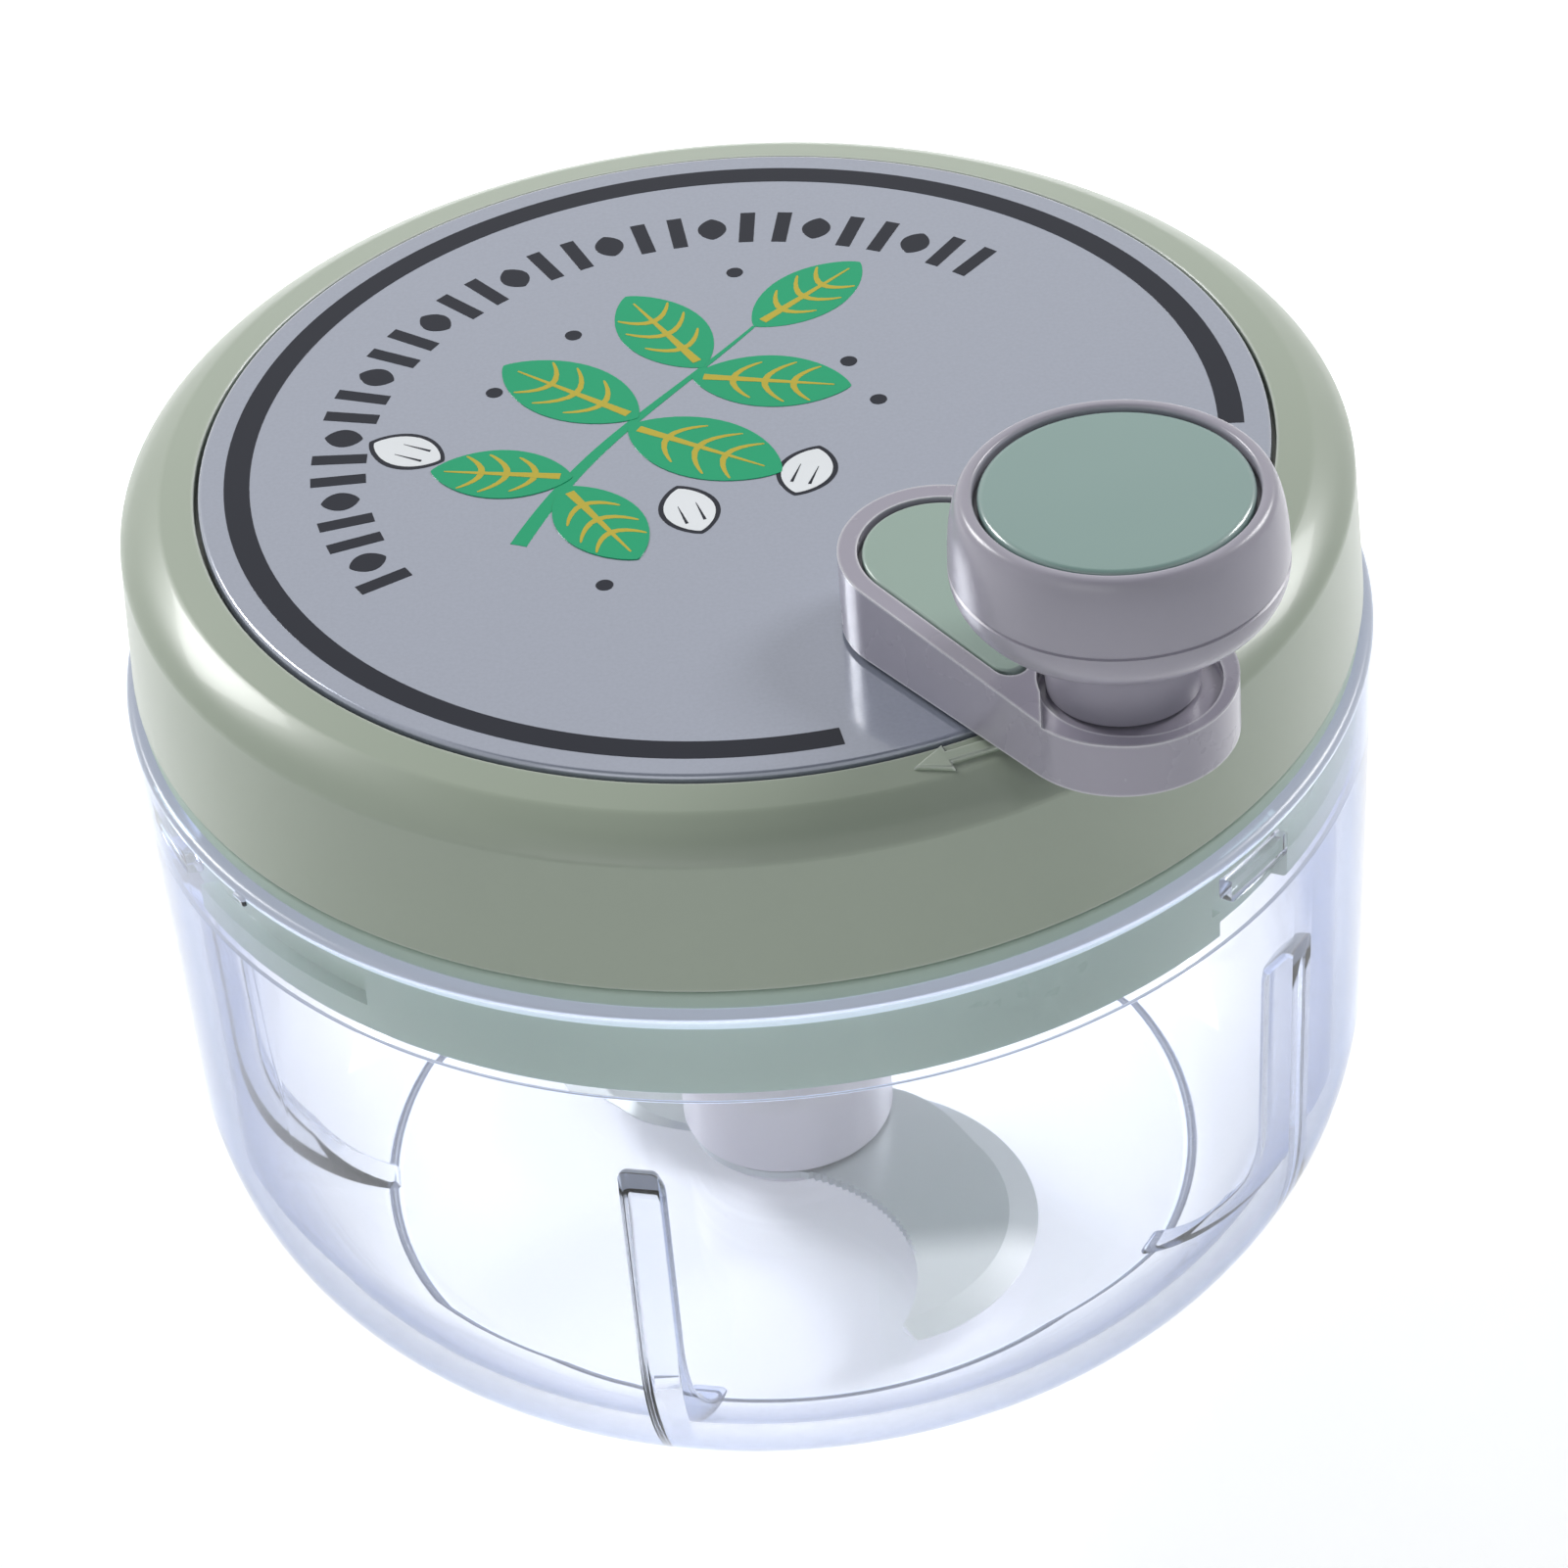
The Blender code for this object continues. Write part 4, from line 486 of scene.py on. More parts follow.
def moulded(name, tone, roughness, coat=0.0, mottle=0.03, peel=0.06, edge_highlight=0.0):
    """Moulded plastic: faint colour drift, a fine skin, and a painted highlight that lightens the
    convex edges.
    """
    material, nodes, links, shader = blank(name)
    drift = spread(nodes, links, noise(nodes, links, 55.0, 2.0), 0.0, 1.0)
    base = tinted(nodes, links, drift, scaled(tone, 1.0 - mottle), scaled(tone, 1.0 + mottle))
    # Painted highlight: a bevel mask finds the convex edges and mixes their colour towards white
    if edge_highlight:
        bevel = nodes.new("ShaderNodeBevel")
        bevel.samples = 4
        bevel.inputs["Radius"].default_value = 0.45 * MM
        geometry = nodes.new("ShaderNodeNewGeometry")
        dot = nodes.new("ShaderNodeVectorMath")
        dot.operation = "DOT_PRODUCT"
        links.new(bevel.outputs["Normal"], dot.inputs[0])
        links.new(geometry.outputs["Normal"], dot.inputs[1])
        edge = ranged(nodes, links, dot.outputs["Value"], 0.995, 0.86)
        base = tinted(nodes, links, edge, base, [part + (1.0 - part) * edge_highlight for part in tone])
    links.new(base, shader.inputs["Base Color"])
    patches = noise(nodes, links, 140.0, 4.0)
    links.new(spread(nodes, links, patches, roughness * 0.95, roughness * 1.06),
              shader.inputs["Roughness"])
    shader.inputs["Coat Weight"].default_value = coat
    shader.inputs["Coat Roughness"].default_value = 0.06
    relief(nodes, links, shader, noise(nodes, links, 900.0, 2.0), peel, 0.02 * MM)
    return material


def clear_plastic(name, tint, edge_on_shade, painted_glow_colour, depth_tint, depth):
    """Clear plastic with painted shade, darker blue where it is seen edge on, and a painted glow on
    marked edges as if they gathered light.
    """
    material, nodes, links, shader = blank(name)
    weight = nodes.new("ShaderNodeLayerWeight")
    weight.inputs["Blend"].default_value = 0.5
    edge_on = ranged(nodes, links, weight.outputs["Facing"], 0.48, 0.82)
    # Painted glow: marked faces take the glow colour, turn rougher and emit a little light
    bright = nodes.new("ShaderNodeAttribute")
    bright.attribute_name = "bright_edge"
    marked = bright.outputs["Fac"]
    # Painted shade: the colour darkens towards the edge-on shade as the surface turns away from the
    # view
    side = tinted(nodes, links, edge_on, tint, edge_on_shade)
    links.new(tinted(nodes, links, marked, side, painted_glow_colour), shader.inputs["Base Color"])
    shader.inputs["Transmission Weight"].default_value = 1.0
    shader.inputs["IOR"].default_value = 1.49
    haze = spread(nodes, links, noise(nodes, links, 90.0, 4.0), 0.008, 0.03)
    milky = nodes.new("ShaderNodeMix")
    milky.inputs["B"].default_value = 0.25
    links.new(marked, milky.inputs["Factor"])
    links.new(haze, milky.inputs["A"])
    links.new(milky.outputs["Result"], shader.inputs["Roughness"])
    links.new(times(nodes, links, marked, 0.45), shader.inputs["Emission Strength"])
    shader.inputs["Emission Color"].default_value = (*painted_glow_colour, 1.0)
    relief(nodes, links, shader, noise(nodes, links, 45.0, 1.0), 0.05, 0.05 * MM)
    absorption = nodes.new("ShaderNodeVolumeAbsorption")
    absorption.inputs["Color"].default_value = (*depth_tint, 1.0)
    absorption.inputs["Density"].default_value = depth
    links.new(absorption.outputs["Volume"], nodes["Material Output"].inputs["Volume"])
    return material


def brushed(name, tone, roughness, stretch, metallic=1.0, tip_highlight=None):
    """Ground steel with fine lines, and perhaps a painted highlight: a brighter tone towards both
    tips.
    """
    material, nodes, links, shader = blank(name)
    lines = noise(nodes, links, 900.0, 4.0, stretch)
    drift = spread(nodes, links, lines, 0.0, 1.0)
    base = tinted(nodes, links, drift, scaled(tone, 0.97), scaled(tone, 1.03))
    if tip_highlight:
        # Painted highlight: the colour brightens towards both tips
        coords = nodes.new("ShaderNodeTexCoord")
        split = nodes.new("ShaderNodeSeparateXYZ")
        across = nodes.new("ShaderNodeMath")
        across.operation = "ABSOLUTE"
        links.new(coords.outputs["Object"], split.inputs["Vector"])
        links.new(split.outputs["Y"], across.inputs[0])
        towards_tip = ranged(nodes, links, across.outputs[0], 20.0 * MM, 26.0 * MM,
                             kind="SMOOTHSTEP")
        base = tinted(nodes, links, towards_tip, base, tip_highlight)
    links.new(base, shader.inputs["Base Color"])
    links.new(spread(nodes, links, lines, roughness * 0.92, roughness * 1.1),
              shader.inputs["Roughness"])
    shader.inputs["Metallic"].default_value = metallic
    relief(nodes, links, shader, lines, 0.05, 0.01 * MM)
    return material


def silver_print(name, tone):
    """The plate's lacquered silver face, with a fine metallic grain."""
    material, nodes, links, shader = blank(name)
    grain = spread(nodes, links, noise(nodes, links, 2600.0, 2.0), 0.0, 1.0)
    links.new(tinted(nodes, links, grain, scaled(tone, 0.95), scaled(tone, 1.05)),
              shader.inputs["Base Color"])
    links.new(spread(nodes, links, noise(nodes, links, 120.0, 3.0), 0.16, 0.22),
              shader.inputs["Roughness"])
    shader.inputs["Metallic"].default_value = 0.25
    shader.inputs["Coat Weight"].default_value = 1.0
    shader.inputs["Coat Roughness"].default_value = 0.03
    relief(nodes, links, shader, noise(nodes, links, 60.0, 1.0), 0.05, 0.02 * MM)
    return material


def ink(name, tone):
    """Printed ink under the plate's lacquer, with a slight unevenness."""
    material = moulded(name, tone, 0.3, coat=0.24, mottle=0.05, peel=0.03)
    material.node_tree.nodes["Principled BSDF"].inputs["Specular IOR Level"].default_value = 0.1
    return material


# Bowl

# A rib's steps, where it starts on the inner wall (0 is the ledge, 1 the floor) and its run
RIB_STEPS = 32
RIB_START = 0.145
RIB_RUN = 0.79

# How far the painted glow on the clear edges reaches, and how strong its weaker bands are
RIM_BAND = 0.9 * MM
LEDGE_BAND = 0.75 * MM
FOOT_BAND = 2.0 * MM
RIB_TOP_BAND = 3.5 * MM
FAINT_BAND = 0.6


def bowl_inside(sizes, rim, waist, position):
    """A point and its inward normal on the inner wall, from the ledge (0) to the floor (1)."""
    radius = rim - sizes.draft
    flat = radius - sizes.corner_run
    run = sizes.corner_run - sizes.wall
    rise = waist - sizes.foot - sizes.floor
    if position < 0.5:
        ledge = BOWL_HIGH[2] - sizes.ledge
        top = radius - sizes.wall + sizes.draft * (ledge - waist) / (BOWL_HIGH[2] - waist)
        part = position / 0.5
        return (Vector((top + (radius - sizes.wall - top) * part, ledge + (waist - ledge) * part)),
                Vector((-1.0, 0.0)))
    turn = (position - 0.5) * math.pi
    point = Vector((flat + run * math.cos(turn), waist - rise * math.sin(turn)))
    return point, Vector((-math.cos(turn) / run, math.sin(turn) / rise)).normalized()


def bowl_section(sizes, rim, waist):
    """The bowl's section, from the middle of its foot round to the middle of its floor."""
    top = BOWL_HIGH[2]
    radius = rim - sizes.draft
    flat = radius - sizes.corner_run
    foot = flat + sizes.foot_lip
    outside = []
    for i in range(26):
        turn = math.pi / 2 * (1.0 - i / 25)
        reach = flat + sizes.corner_run * math.cos(turn)
        if reach > foot + 0.4 * MM:
            outside.append((reach, waist - sizes.corner_rise * math.sin(turn)))
    lean = math.sqrt(1.0 - (sizes.foot_lip / sizes.corner_run) ** 2)
    inside = [tuple(bowl_inside(sizes, rim, waist, 0.5 + i / 48)[0]) for i in range(25)]
    bore = rim - sizes.rim_wall
    ledge = tuple(bowl_inside(sizes, rim, waist, 0.0)[0])
    return [(0.0, BOWL_LOW[2]), (foot, BOWL_LOW[2]), (foot, waist - sizes.corner_rise * lean),
            *outside, (rim, top), (bore, top), (bore, ledge[1]), ledge, *inside,
            (0.0, sizes.foot + sizes.floor)]


def bowl_rib(sizes, rim, waist, bearing):
    """A rib that follows the inner wall and thins out at both ends."""
    sunk, proud = [], []
    for k in range(RIB_STEPS + 1):
        point, normal = bowl_inside(sizes, rim, waist, RIB_START + RIB_RUN * k / RIB_STEPS)
        deep = sizes.rib_depth * min(1.0, 0.30 + 0.32 * k, 0.12 + 0.11 * (RIB_STEPS - k))
        sunk.append(tuple(point - normal * sizes.wall * 0.4))
        proud.append(tuple(point + normal * deep))
    return soften(upright(sunk + proud[::-1], sizes.rib_width, bearing), 0.8 * MM, 4, 50.0)


def mark_painted_glow_faces(bm, sizes, rim, waist, ledge, bore):
    """Mark the faces of the rim, the ledge, the foot and the ribs' tops that get the painted glow.
    """
    bright = bm.faces.layers.float.new("bright_edge")
    rib_top = bowl_inside(sizes, rim, waist, RIB_START)[0]
    for face in bm.faces:
        middle = face.calc_center_median()
        out = middle.xy.length
        on_rim = middle.z > BOWL_HIGH[2] - RIM_BAND
        on_ledge = abs(middle.z - ledge) < LEDGE_BAND and out < bore + 0.05 * MM
        on_foot = middle.z < FOOT_BAND and out > rim - sizes.draft - sizes.corner_run + 3.0 * MM
        on_rib = (rib_top.y - RIB_TOP_BAND < middle.z < rib_top.y + MM
                  and out < rib_top.x - 0.15 * MM)
        if on_rim or on_ledge:
            face[bright] = 1.0
        elif on_foot or on_rib:
            face[bright] = FAINT_BAND


class CHOPPER_OT_bowl(bpy.types.Operator):
    """Build the clear bowl with its ribs, bayonet lugs and foot"""
    bl_idname = "chopper.bowl"
    bl_label = "Clear bowl"

    def execute(self, context):
        sizes = context.scene.chopper_bowl
        rim = BOWL_HIGH[0]
        top = BOWL_HIGH[2]
        waist = sizes.foot + sizes.corner_rise
        ledge = top - sizes.ledge
        bore = rim - sizes.rim_wall
        bm = turned(bowl_section(sizes, rim, waist), 192)
        soften(bm, 0.85 * MM, 6, 40.0, higher_than(top - MM))
        soften(bm, 0.7 * MM, 5, 40.0,
               lambda e: ledge - MM < min(v.co.z for v in e.verts) < ledge + MM)
        soften(bm, 0.85 * MM, 7, 30.0, lower_than(3 * MM))
        shapes = [bowl_rib(sizes, rim, waist, sizes.rib_bearing + math.tau * i / sizes.ribs)
                  for i in range(sizes.ribs)]
        low = ledge + sizes.lug_above_ledge
        high = low + sizes.lug_height
        inner = bore - sizes.lug_depth
        outer = bore + sizes.rim_wall / 2
        for i in range(LUGS):
            lug = upright([(inner, low), (outer, low), (outer, high), (inner, high)],
                          sizes.lug_width, sizes.lug_bearing + math.tau * i / LUGS)
            shapes.append(soften(lug, 0.3 * MM, 2))
        proud = rim + 0.35 * MM
        nub = upright([(rim - MM, top - 1.7 * MM), (proud, top - 1.5 * MM),
                       (proud, top - 0.6 * MM), (rim - MM, top - 0.5 * MM)],
                      1.8 * MM, math.radians(-143.5))
        shapes.append(soften(nub, 0.25 * MM, 3))
        shapes.append(rod(SPIGOT_RADIUS, sizes.foot + MM, 4.6 * MM, 48))
        bm = carved(bm, together(shapes), "UNION")
        bm = carved(bm, rod(PIN_RADIUS, 1.3 * MM, 7.0 * MM, 40))
        # Mark where the painted glow goes
        mark_painted_glow_faces(bm, sizes, rim, waist, ledge, bore)
        clear = clear_plastic("clear_plastic", sizes.tint, sizes.edge_on_shade, sizes.painted_glow_colour,
                              sizes.depth_tint, sizes.depth)
        bowl = piece("clear_bowl", bm, "bowl", clear, ["bowl"], 32.0)
        bowl.visible_shadow = False
        return {"FINISHED"}


# Lid

class CHOPPER_OT_lid(bpy.types.Operator):
    """Build the lid shell with its shoulder, its bosses and the raised arrow"""
    bl_idname = "chopper.lid"
    bl_label = "Lid shell"

    def execute(self, context):
        sizes = context.scene.chopper_lid
        bottom = SEAL_HIGH[2] + 0.3 * MM
        foot_radius = SHELL_HIGH[0]
        radius = foot_radius - sizes.draft
        rim_top = PLATE_HIGH[2] - 0.4 * MM
        crease = radius - sizes.shoulder_run
        recess = crease - sizes.rim_run
        crease_height = rim_top - sizes.rim_rise
        wall_top = crease_height - sizes.shoulder_rise
        deck = PLATE_LOW[2] - 0.3 * MM
        under = deck - 2.2 * MM
        bore = COVER_HIGH[0] - 0.1 * MM
        section = [(0.0, deck), (recess, deck), (recess, rim_top), (crease, crease_height)]
        section += bend((crease, crease_height), (crease + 1.6 * MM, crease_height - 0.75 * MM),
                        (radius - 0.9 * MM, wall_top + 1.35 * MM), (radius, wall_top), 8)[1:]
        section += [(foot_radius, bottom), (bore, bottom), (bore, under - 1.3 * MM),
                    (bore - 1.3 * MM, under), (0.0, under)]
        bm = turned(section, 192)
        soften(bm, 0.22 * MM, 3, 40.0, higher_than(rim_top - 0.1 * MM))
        soften(bm, sizes.crease, 4, 8.0, level_with(crease_height))
        soften(bm, sizes.crease, 4, 20.0, level_with(wall_top))
        soften(bm, 0.35 * MM, 3, 40.0, lower_than(bottom + 0.1 * MM))
        # The bosses reach down to the crank's bush, the gears and the screws
        inside = under + MM
        bosses = [rod(9.9 * MM, 83.5 * MM, inside, 48, CRANK_AXIS),
                  rod(6.0 * MM, 84.2 * MM, inside, 40, IDLER_AXIS),
                  rod(7.5 * MM, 78.3 * MM, inside, 40)]
        holes = [rod(BUSH_RADIUS, 80 * MM, 95 * MM, 48, CRANK_AXIS),
                 rod(AXLE_RADIUS, 80 * MM, 88.4 * MM, 32, IDLER_AXIS),
                 rod(SHAFT_RADIUS, 76 * MM, 86.6 * MM, 32)]
        for place in SCREW_AXES:
            bosses.append(rod(4.3 * MM, 65.6 * MM, inside, 24, place))
            holes.append(rod(SCREW_RADIUS, 63 * MM, 75.8 * MM, 24, place))
        bm = carved(bm, together(bosses), "UNION")
        bm = carved(bm, together(holes))
        # The lid's creases and rims get a painted highlight along their convex edges
        green = moulded("sage_shell", sizes.shell, 0.30, coat=0.14, mottle=0.008, peel=0.02,
                        edge_highlight=0.4)
        piece("green_lid_shell", bm, "lid", green, ["lid_shell"], 32.0)
        tip = sizes.arrow_length / 2
        neck = tip - 3.4 * MM
        stem = 0.75 * MM
        right = [(tip, 0.0), (neck, sizes.arrow_width / 2), (neck, stem), (-tip, stem)]
        arrow = raised(right + [(x, -y) for x, y in right[:0:-1]], -0.4 * MM, 0.5 * MM)
        soften(arrow, 0.3 * MM, 3, 30.0, higher_than(0.0))
        swung(arrow, -math.atan2(sizes.rim_rise, sizes.rim_run), "X")
        place = (0.0, (recess + crease) / 2 - 0.15 * MM, (crease_height + rim_top) / 2)
        bmesh.ops.translate(arrow, verts=arrow.verts, vec=place)
        swung(arrow, sizes.arrow_bearing - math.pi / 2)
        # Painted highlight: the raised arrow is the shell's own green made lighter, with lighter
        # edges, so its top stands out as if lit
        light = moulded("arrow_face", scaled(sizes.shell, 1.2), 0.22, coat=0.5, mottle=0.01,
                        peel=0.03, edge_highlight=0.5)
        piece("rim_arrow", arrow, "lid", light)
        return {"FINISHED"}


class CHOPPER_OT_cover(bpy.types.Operator):
    """Build the inner cover, with its skirt and bayonet grooves, and the seal ring"""
    bl_idname = "chopper.cover"
    bl_label = "Inner cover and seal"

    def execute(self, context):
        sizes = context.scene.chopper_lid
        bowl = context.scene.chopper_bowl
        skirt = COVER_HIGH[0]
        upper = skirt - 0.4 * MM
        bore = skirt - 2.6 * MM
        foot = BOWL_HIGH[2] - bowl.ledge + 0.5 * MM
        under = foot + 2.4 * MM
        floor = under + 2.2 * MM
        step = SEAL_HIGH[2]
        bm = turned([(0.0, under), (bore, under), (bore, foot), (skirt, foot), (skirt, step),
                     (upper, step), (upper, COVER_HIGH[2]), (bore, COVER_HIGH[2]), (bore, floor),
                     (0.0, floor)], 192)
        soften(bm, 0.4 * MM, 3, 40.0, lower_than(foot + 0.1 * MM))
        lug_low = BOWL_HIGH[2] - bowl.ledge + bowl.lug_above_ledge
        inner = BOWL_HIGH[0] - bowl.rim_wall - bowl.lug_depth - 0.5 * MM
        half = (bowl.lug_width / 2 + 0.7 * MM) / bore
        wide = half + MM / bore
        entries, runs = [], []
        for i in range(LUGS):
            middle = bowl.lug_bearing + math.tau * i / LUGS
            for cuts, start, end, low, high in (
                    (entries, middle - half, middle + half,
                     foot - 2 * MM, lug_low + bowl.lug_height / 2),
                    (runs, middle - wide, middle + half + LUG_TRAVEL,
                     lug_low - 0.7 * MM, lug_low + bowl.lug_height + 0.7 * MM)):
                outer = arc((0, 0), skirt + 2 * MM, start, end, 16)
                cuts.append(raised(outer + arc((0, 0), inner, end, start, 16), low, high))
        bm = carved(carved(bm, together(entries)), together(runs))
        hub = soften(rod(8.9 * MM, under - 2 * MM, under + MM, 64), 0.5 * MM, 3, 60.0)
        boss = rod(6.0 * MM, under + MM, floor + 1.3 * MM, 40, IDLER_AXIS)
        bm = carved(bm, together([hub, boss]), "UNION")
        through = 70 * MM
        holes = [rod(6.8 * MM, 50 * MM, through, 64),
                 rod(AXLE_RADIUS, floor - 1.3 * MM, through, 32, IDLER_AXIS)]
        holes += [rod(SCREW_RADIUS, 55 * MM, through, 24, place) for place in SCREW_AXES]
        bm = carved(bm, together(holes))
        green = moulded("sage_skirt", sizes.skirt, 0.28, coat=0.3, mottle=0.02, peel=0.04)
        piece("green_inner_cover", bm, "lid", green, ["inner_cover"], 32.0)
        outer = SEAL_HIGH[0]
        inner = skirt + 0.3 * MM
        ring = turned([(inner, SEAL_LOW[2]), (outer, SEAL_LOW[2]), (outer, SEAL_HIGH[2]),
                       (inner, SEAL_HIGH[2])], 192)
        soften(ring, 0.5 * MM, 4, 60.0)
        soft = moulded("soft_seal", sizes.seal, 0.5, mottle=0.04, peel=0.25)
        piece("soft_seal_ring", ring, "seal", soft, ["seal_ring"])
        return {"FINISHED"}


# Top plate

def leaf(place, turn, long, wide, low, high):
    """A pointed leaf lying on the plate, from its base outwards."""
    bm = bmesh.new()
    bmesh.ops.create_circle(bm, cap_ends=True, segments=48, radius=1.0)
    for vert in bm.verts:
        vert.co.x *= wide / 2 * abs(vert.co.x) ** 0.55
        vert.co.y = (vert.co.y + 1.0) * long / 2
    bmesh.ops.translate(bm, verts=grown(bm), vec=(0.0, 0.0, high - low))
    return moved(bm, turn - math.pi / 2, (place[0], place[1], low))


def bar(place, turn, long, wide, low, high):
    """A straight mark lying on the plate, centred on its place."""
    x, y = long / 2, wide / 2
    outline = [(-x, -y), (x, -y), (x, y), (-x, y)]
    return moved(raised(outline, low, high), turn, (place[0], place[1], 0.0))


def stripe(points, wide, low, high):
    """A curved stripe that narrows to its end."""
    left, right = [], []
    last = len(points) - 1
    for i, point in enumerate(points):
        ahead = Vector(points[min(i + 1, last)]) - Vector(points[max(i - 1, 0)])
        side = Vector((-ahead.y, ahead.x)).normalized() * wide / 2 * (1.0 - 0.8 * i / last)
        left.append(tuple(Vector(point) + side))
        right.append(tuple(Vector(point) - side))
    return raised(left + right[::-1], low, high)


def printed_sprig(top):
    """Leaves, veins, stems and cloves: lists of shapes by ink."""
    inks = {"green": [], "yellow": [], "white": [], "black": []}
    low, high = top - INK_LAYER, top + INK_LAYER
    stem = bend((-21 * MM, -14 * MM), (-14 * MM, 2 * MM), (-8 * MM, 6 * MM), (3 * MM, 20 * MM), 24)
    inks["green"].append(stripe(stem, 1.7 * MM, low, high))
    leaves = ((23, 42.0, 15.0, 8.0), (19, 118.0, 15.5, 8.6), (18, -14.0, 16.0, 8.8),
              (13, 140.0, 17.0, 9.2), (12, -34.0, 17.5, 9.6), (6, 168.0, 14.0, 8.0),
              (5, -62.0, 14.5, 8.2))
    for k, (index, turn, long, wide) in enumerate(leaves):
        place = Vector(stem[index])
        bearing = math.radians(turn)
        lift = INK_LAYER * (1.0 + 0.4 * k)
        inks["green"].append(leaf(place, bearing, long * MM, wide * MM, low, top + lift))
        along = Vector((math.cos(bearing), math.sin(bearing)))
        across = Vector((-along.y, along.x))
        start = place + along * 1.2 * MM
        vein = [tuple(start + along * long * MM * 0.82 * step / 8) for step in range(9)]
        inks["yellow"].append(stripe(vein, 0.95 * MM, low, top + lift + INK_LAYER * 0.6))
        for side in (1.0, -1.0):
            for rank in (0.26, 0.46, 0.64):
                root = place + along * long * MM * rank
                reach = wide * MM * (0.40 - 0.30 * abs(rank - 0.42))
                tip = tuple(root + along * reach * 0.75 + across * side * reach)
                bow = root + across * side * reach * 0.55
                vein = bend(tuple(root), tuple(bow), tip, tip, 7)
                inks["yellow"].append(stripe(vein, 0.7 * MM, low, top + lift + INK_LAYER * 0.5))
    for x, y, turn in ((5.5, -9.5, 70.0), (-3.5, -14.5, 105.0), (-28.0, 1.0, 150.0)):
        bearing = math.radians(turn)
        spot = (x * MM, y * MM)
        back = polar(spot, 0.45 * MM, bearing)
        inks["black"].append(leaf(spot, bearing, 8.4 * MM, 5.9 * MM, low, high))
        inks["white"].append(leaf(back, bearing, 7.4 * MM, 4.9 * MM, low, top + 1.7 * INK_LAYER))
        for side in (-0.9 * MM, 0.9 * MM):
            base = (back[0] - side * math.sin(bearing), back[1] + side * math.cos(bearing))
            crease = [polar(base, reach * MM, bearing) for reach in (1.6, 2.6, 3.6, 4.6)]
            inks["black"].append(stripe(crease, 0.32 * MM, low, top + 2.2 * INK_LAYER))
    for x, y in ((12.0, 12.5), (14.5, 5.5), (-15.0, 21.0), (-23.0, 12.0), (1.5, 30.0),
                 (-13.0, -21.5)):
        inks["black"].append(rod(0.85 * MM, low, high, 20, (x * MM, y * MM)))
    return inks


class CHOPPER_OT_plate(bpy.types.Operator):
    """Build the lacquered top plate and its printed ring, marks and leaves"""
    bl_idname = "chopper.plate"
    bl_label = "Top plate"

    def execute(self, context):
        sizes = context.scene.chopper_plate
        radius = PLATE_HIGH[0]
        low = PLATE_LOW[2]
        top = PLATE_HIGH[2]
        bm = rod(radius, low, top, 192)
        soften(bm, 0.5 * MM, 3, 60.0, higher_than(top - 0.1 * MM))
        bm = carved(bm, rod(BUSH_RADIUS, low - MM, top + MM, 64, CRANK_AXIS))
        silver = silver_print("silver_plate", sizes.base)
        piece("printed_plate", bm, "lid", silver, ["top_plate"])
        low, high = top - INK_LAYER, top + INK_LAYER
        ring = bmesh.new()
        corners = [ring.verts.new((radius, 0.0, height)) for radius, height in (
            (sizes.ring_inner, low), (sizes.ring_outer, low), (sizes.ring_outer, high),
            (sizes.ring_inner, high))]
        edges = [ring.edges.new((corners[i - 1], corners[i])) for i in range(4)]
        swung(ring, sizes.ring_start)
        bmesh.ops.spin(ring, geom=corners + edges, cent=(0, 0, 0), axis=(0, 0, 1),
                       angle=-sizes.ring_sweep, steps=150)
        bmesh.ops.holes_fill(ring, edges=[edge for edge in ring.edges if edge.is_boundary], sides=4)
        inks = printed_sprig(top)
        inks["black"].append(ring)
        middle = (sizes.mark_inner + sizes.mark_outer) / 2
        tall = sizes.mark_outer - sizes.mark_inner
        for i in range(sizes.marks):
            bearing = math.radians(208.0 - 160.0 * i / (sizes.marks - 1))
            place = polar((0.0, 0.0), middle, bearing)
            if i % 3 == 1:
                foot = polar(place, -tall * 0.35, bearing)
                mark = leaf(foot, bearing, tall * 0.7, 2.9 * MM, low, high)
            else:
                mark = bar(place, bearing, tall, 1.5 * MM, low, high)
            inks["black"].append(mark)
        for name, shapes in inks.items():
            tone = ink("ink_" + name, getattr(sizes, name))
            piece("print_" + name, together(shapes), "lid", tone)
        return {"FINISHED"}


# Crank

def arm_plan(sizes, lean):
    """The arm's plan along X from the pivot: a bar with two round ends, wider at the knob."""
    turn = math.pi / 2 + lean
    return (arc((0.0, 0.0), sizes.pivot_end, turn, math.tau - turn, 48)
            + arc((ARM_REACH, 0.0), sizes.knob_end, -turn, turn, 48))


def scoop_plan(sizes):
    """The plan of the lowered end: round the knob's foot, then flared to the sides."""
    side = sizes.knob_end + 2 * MM
    far = ARM_REACH + side
    near = arc((ARM_REACH, 0.0), sizes.scoop, math.pi - sizes.scoop_turn,
               math.pi + sizes.scoop_turn, 32)
    flare = near[0][0] + sizes.flare * (side - near[0][1])
    return near + [(flare, -side), (far, -side), (far, side), (flare, side)]


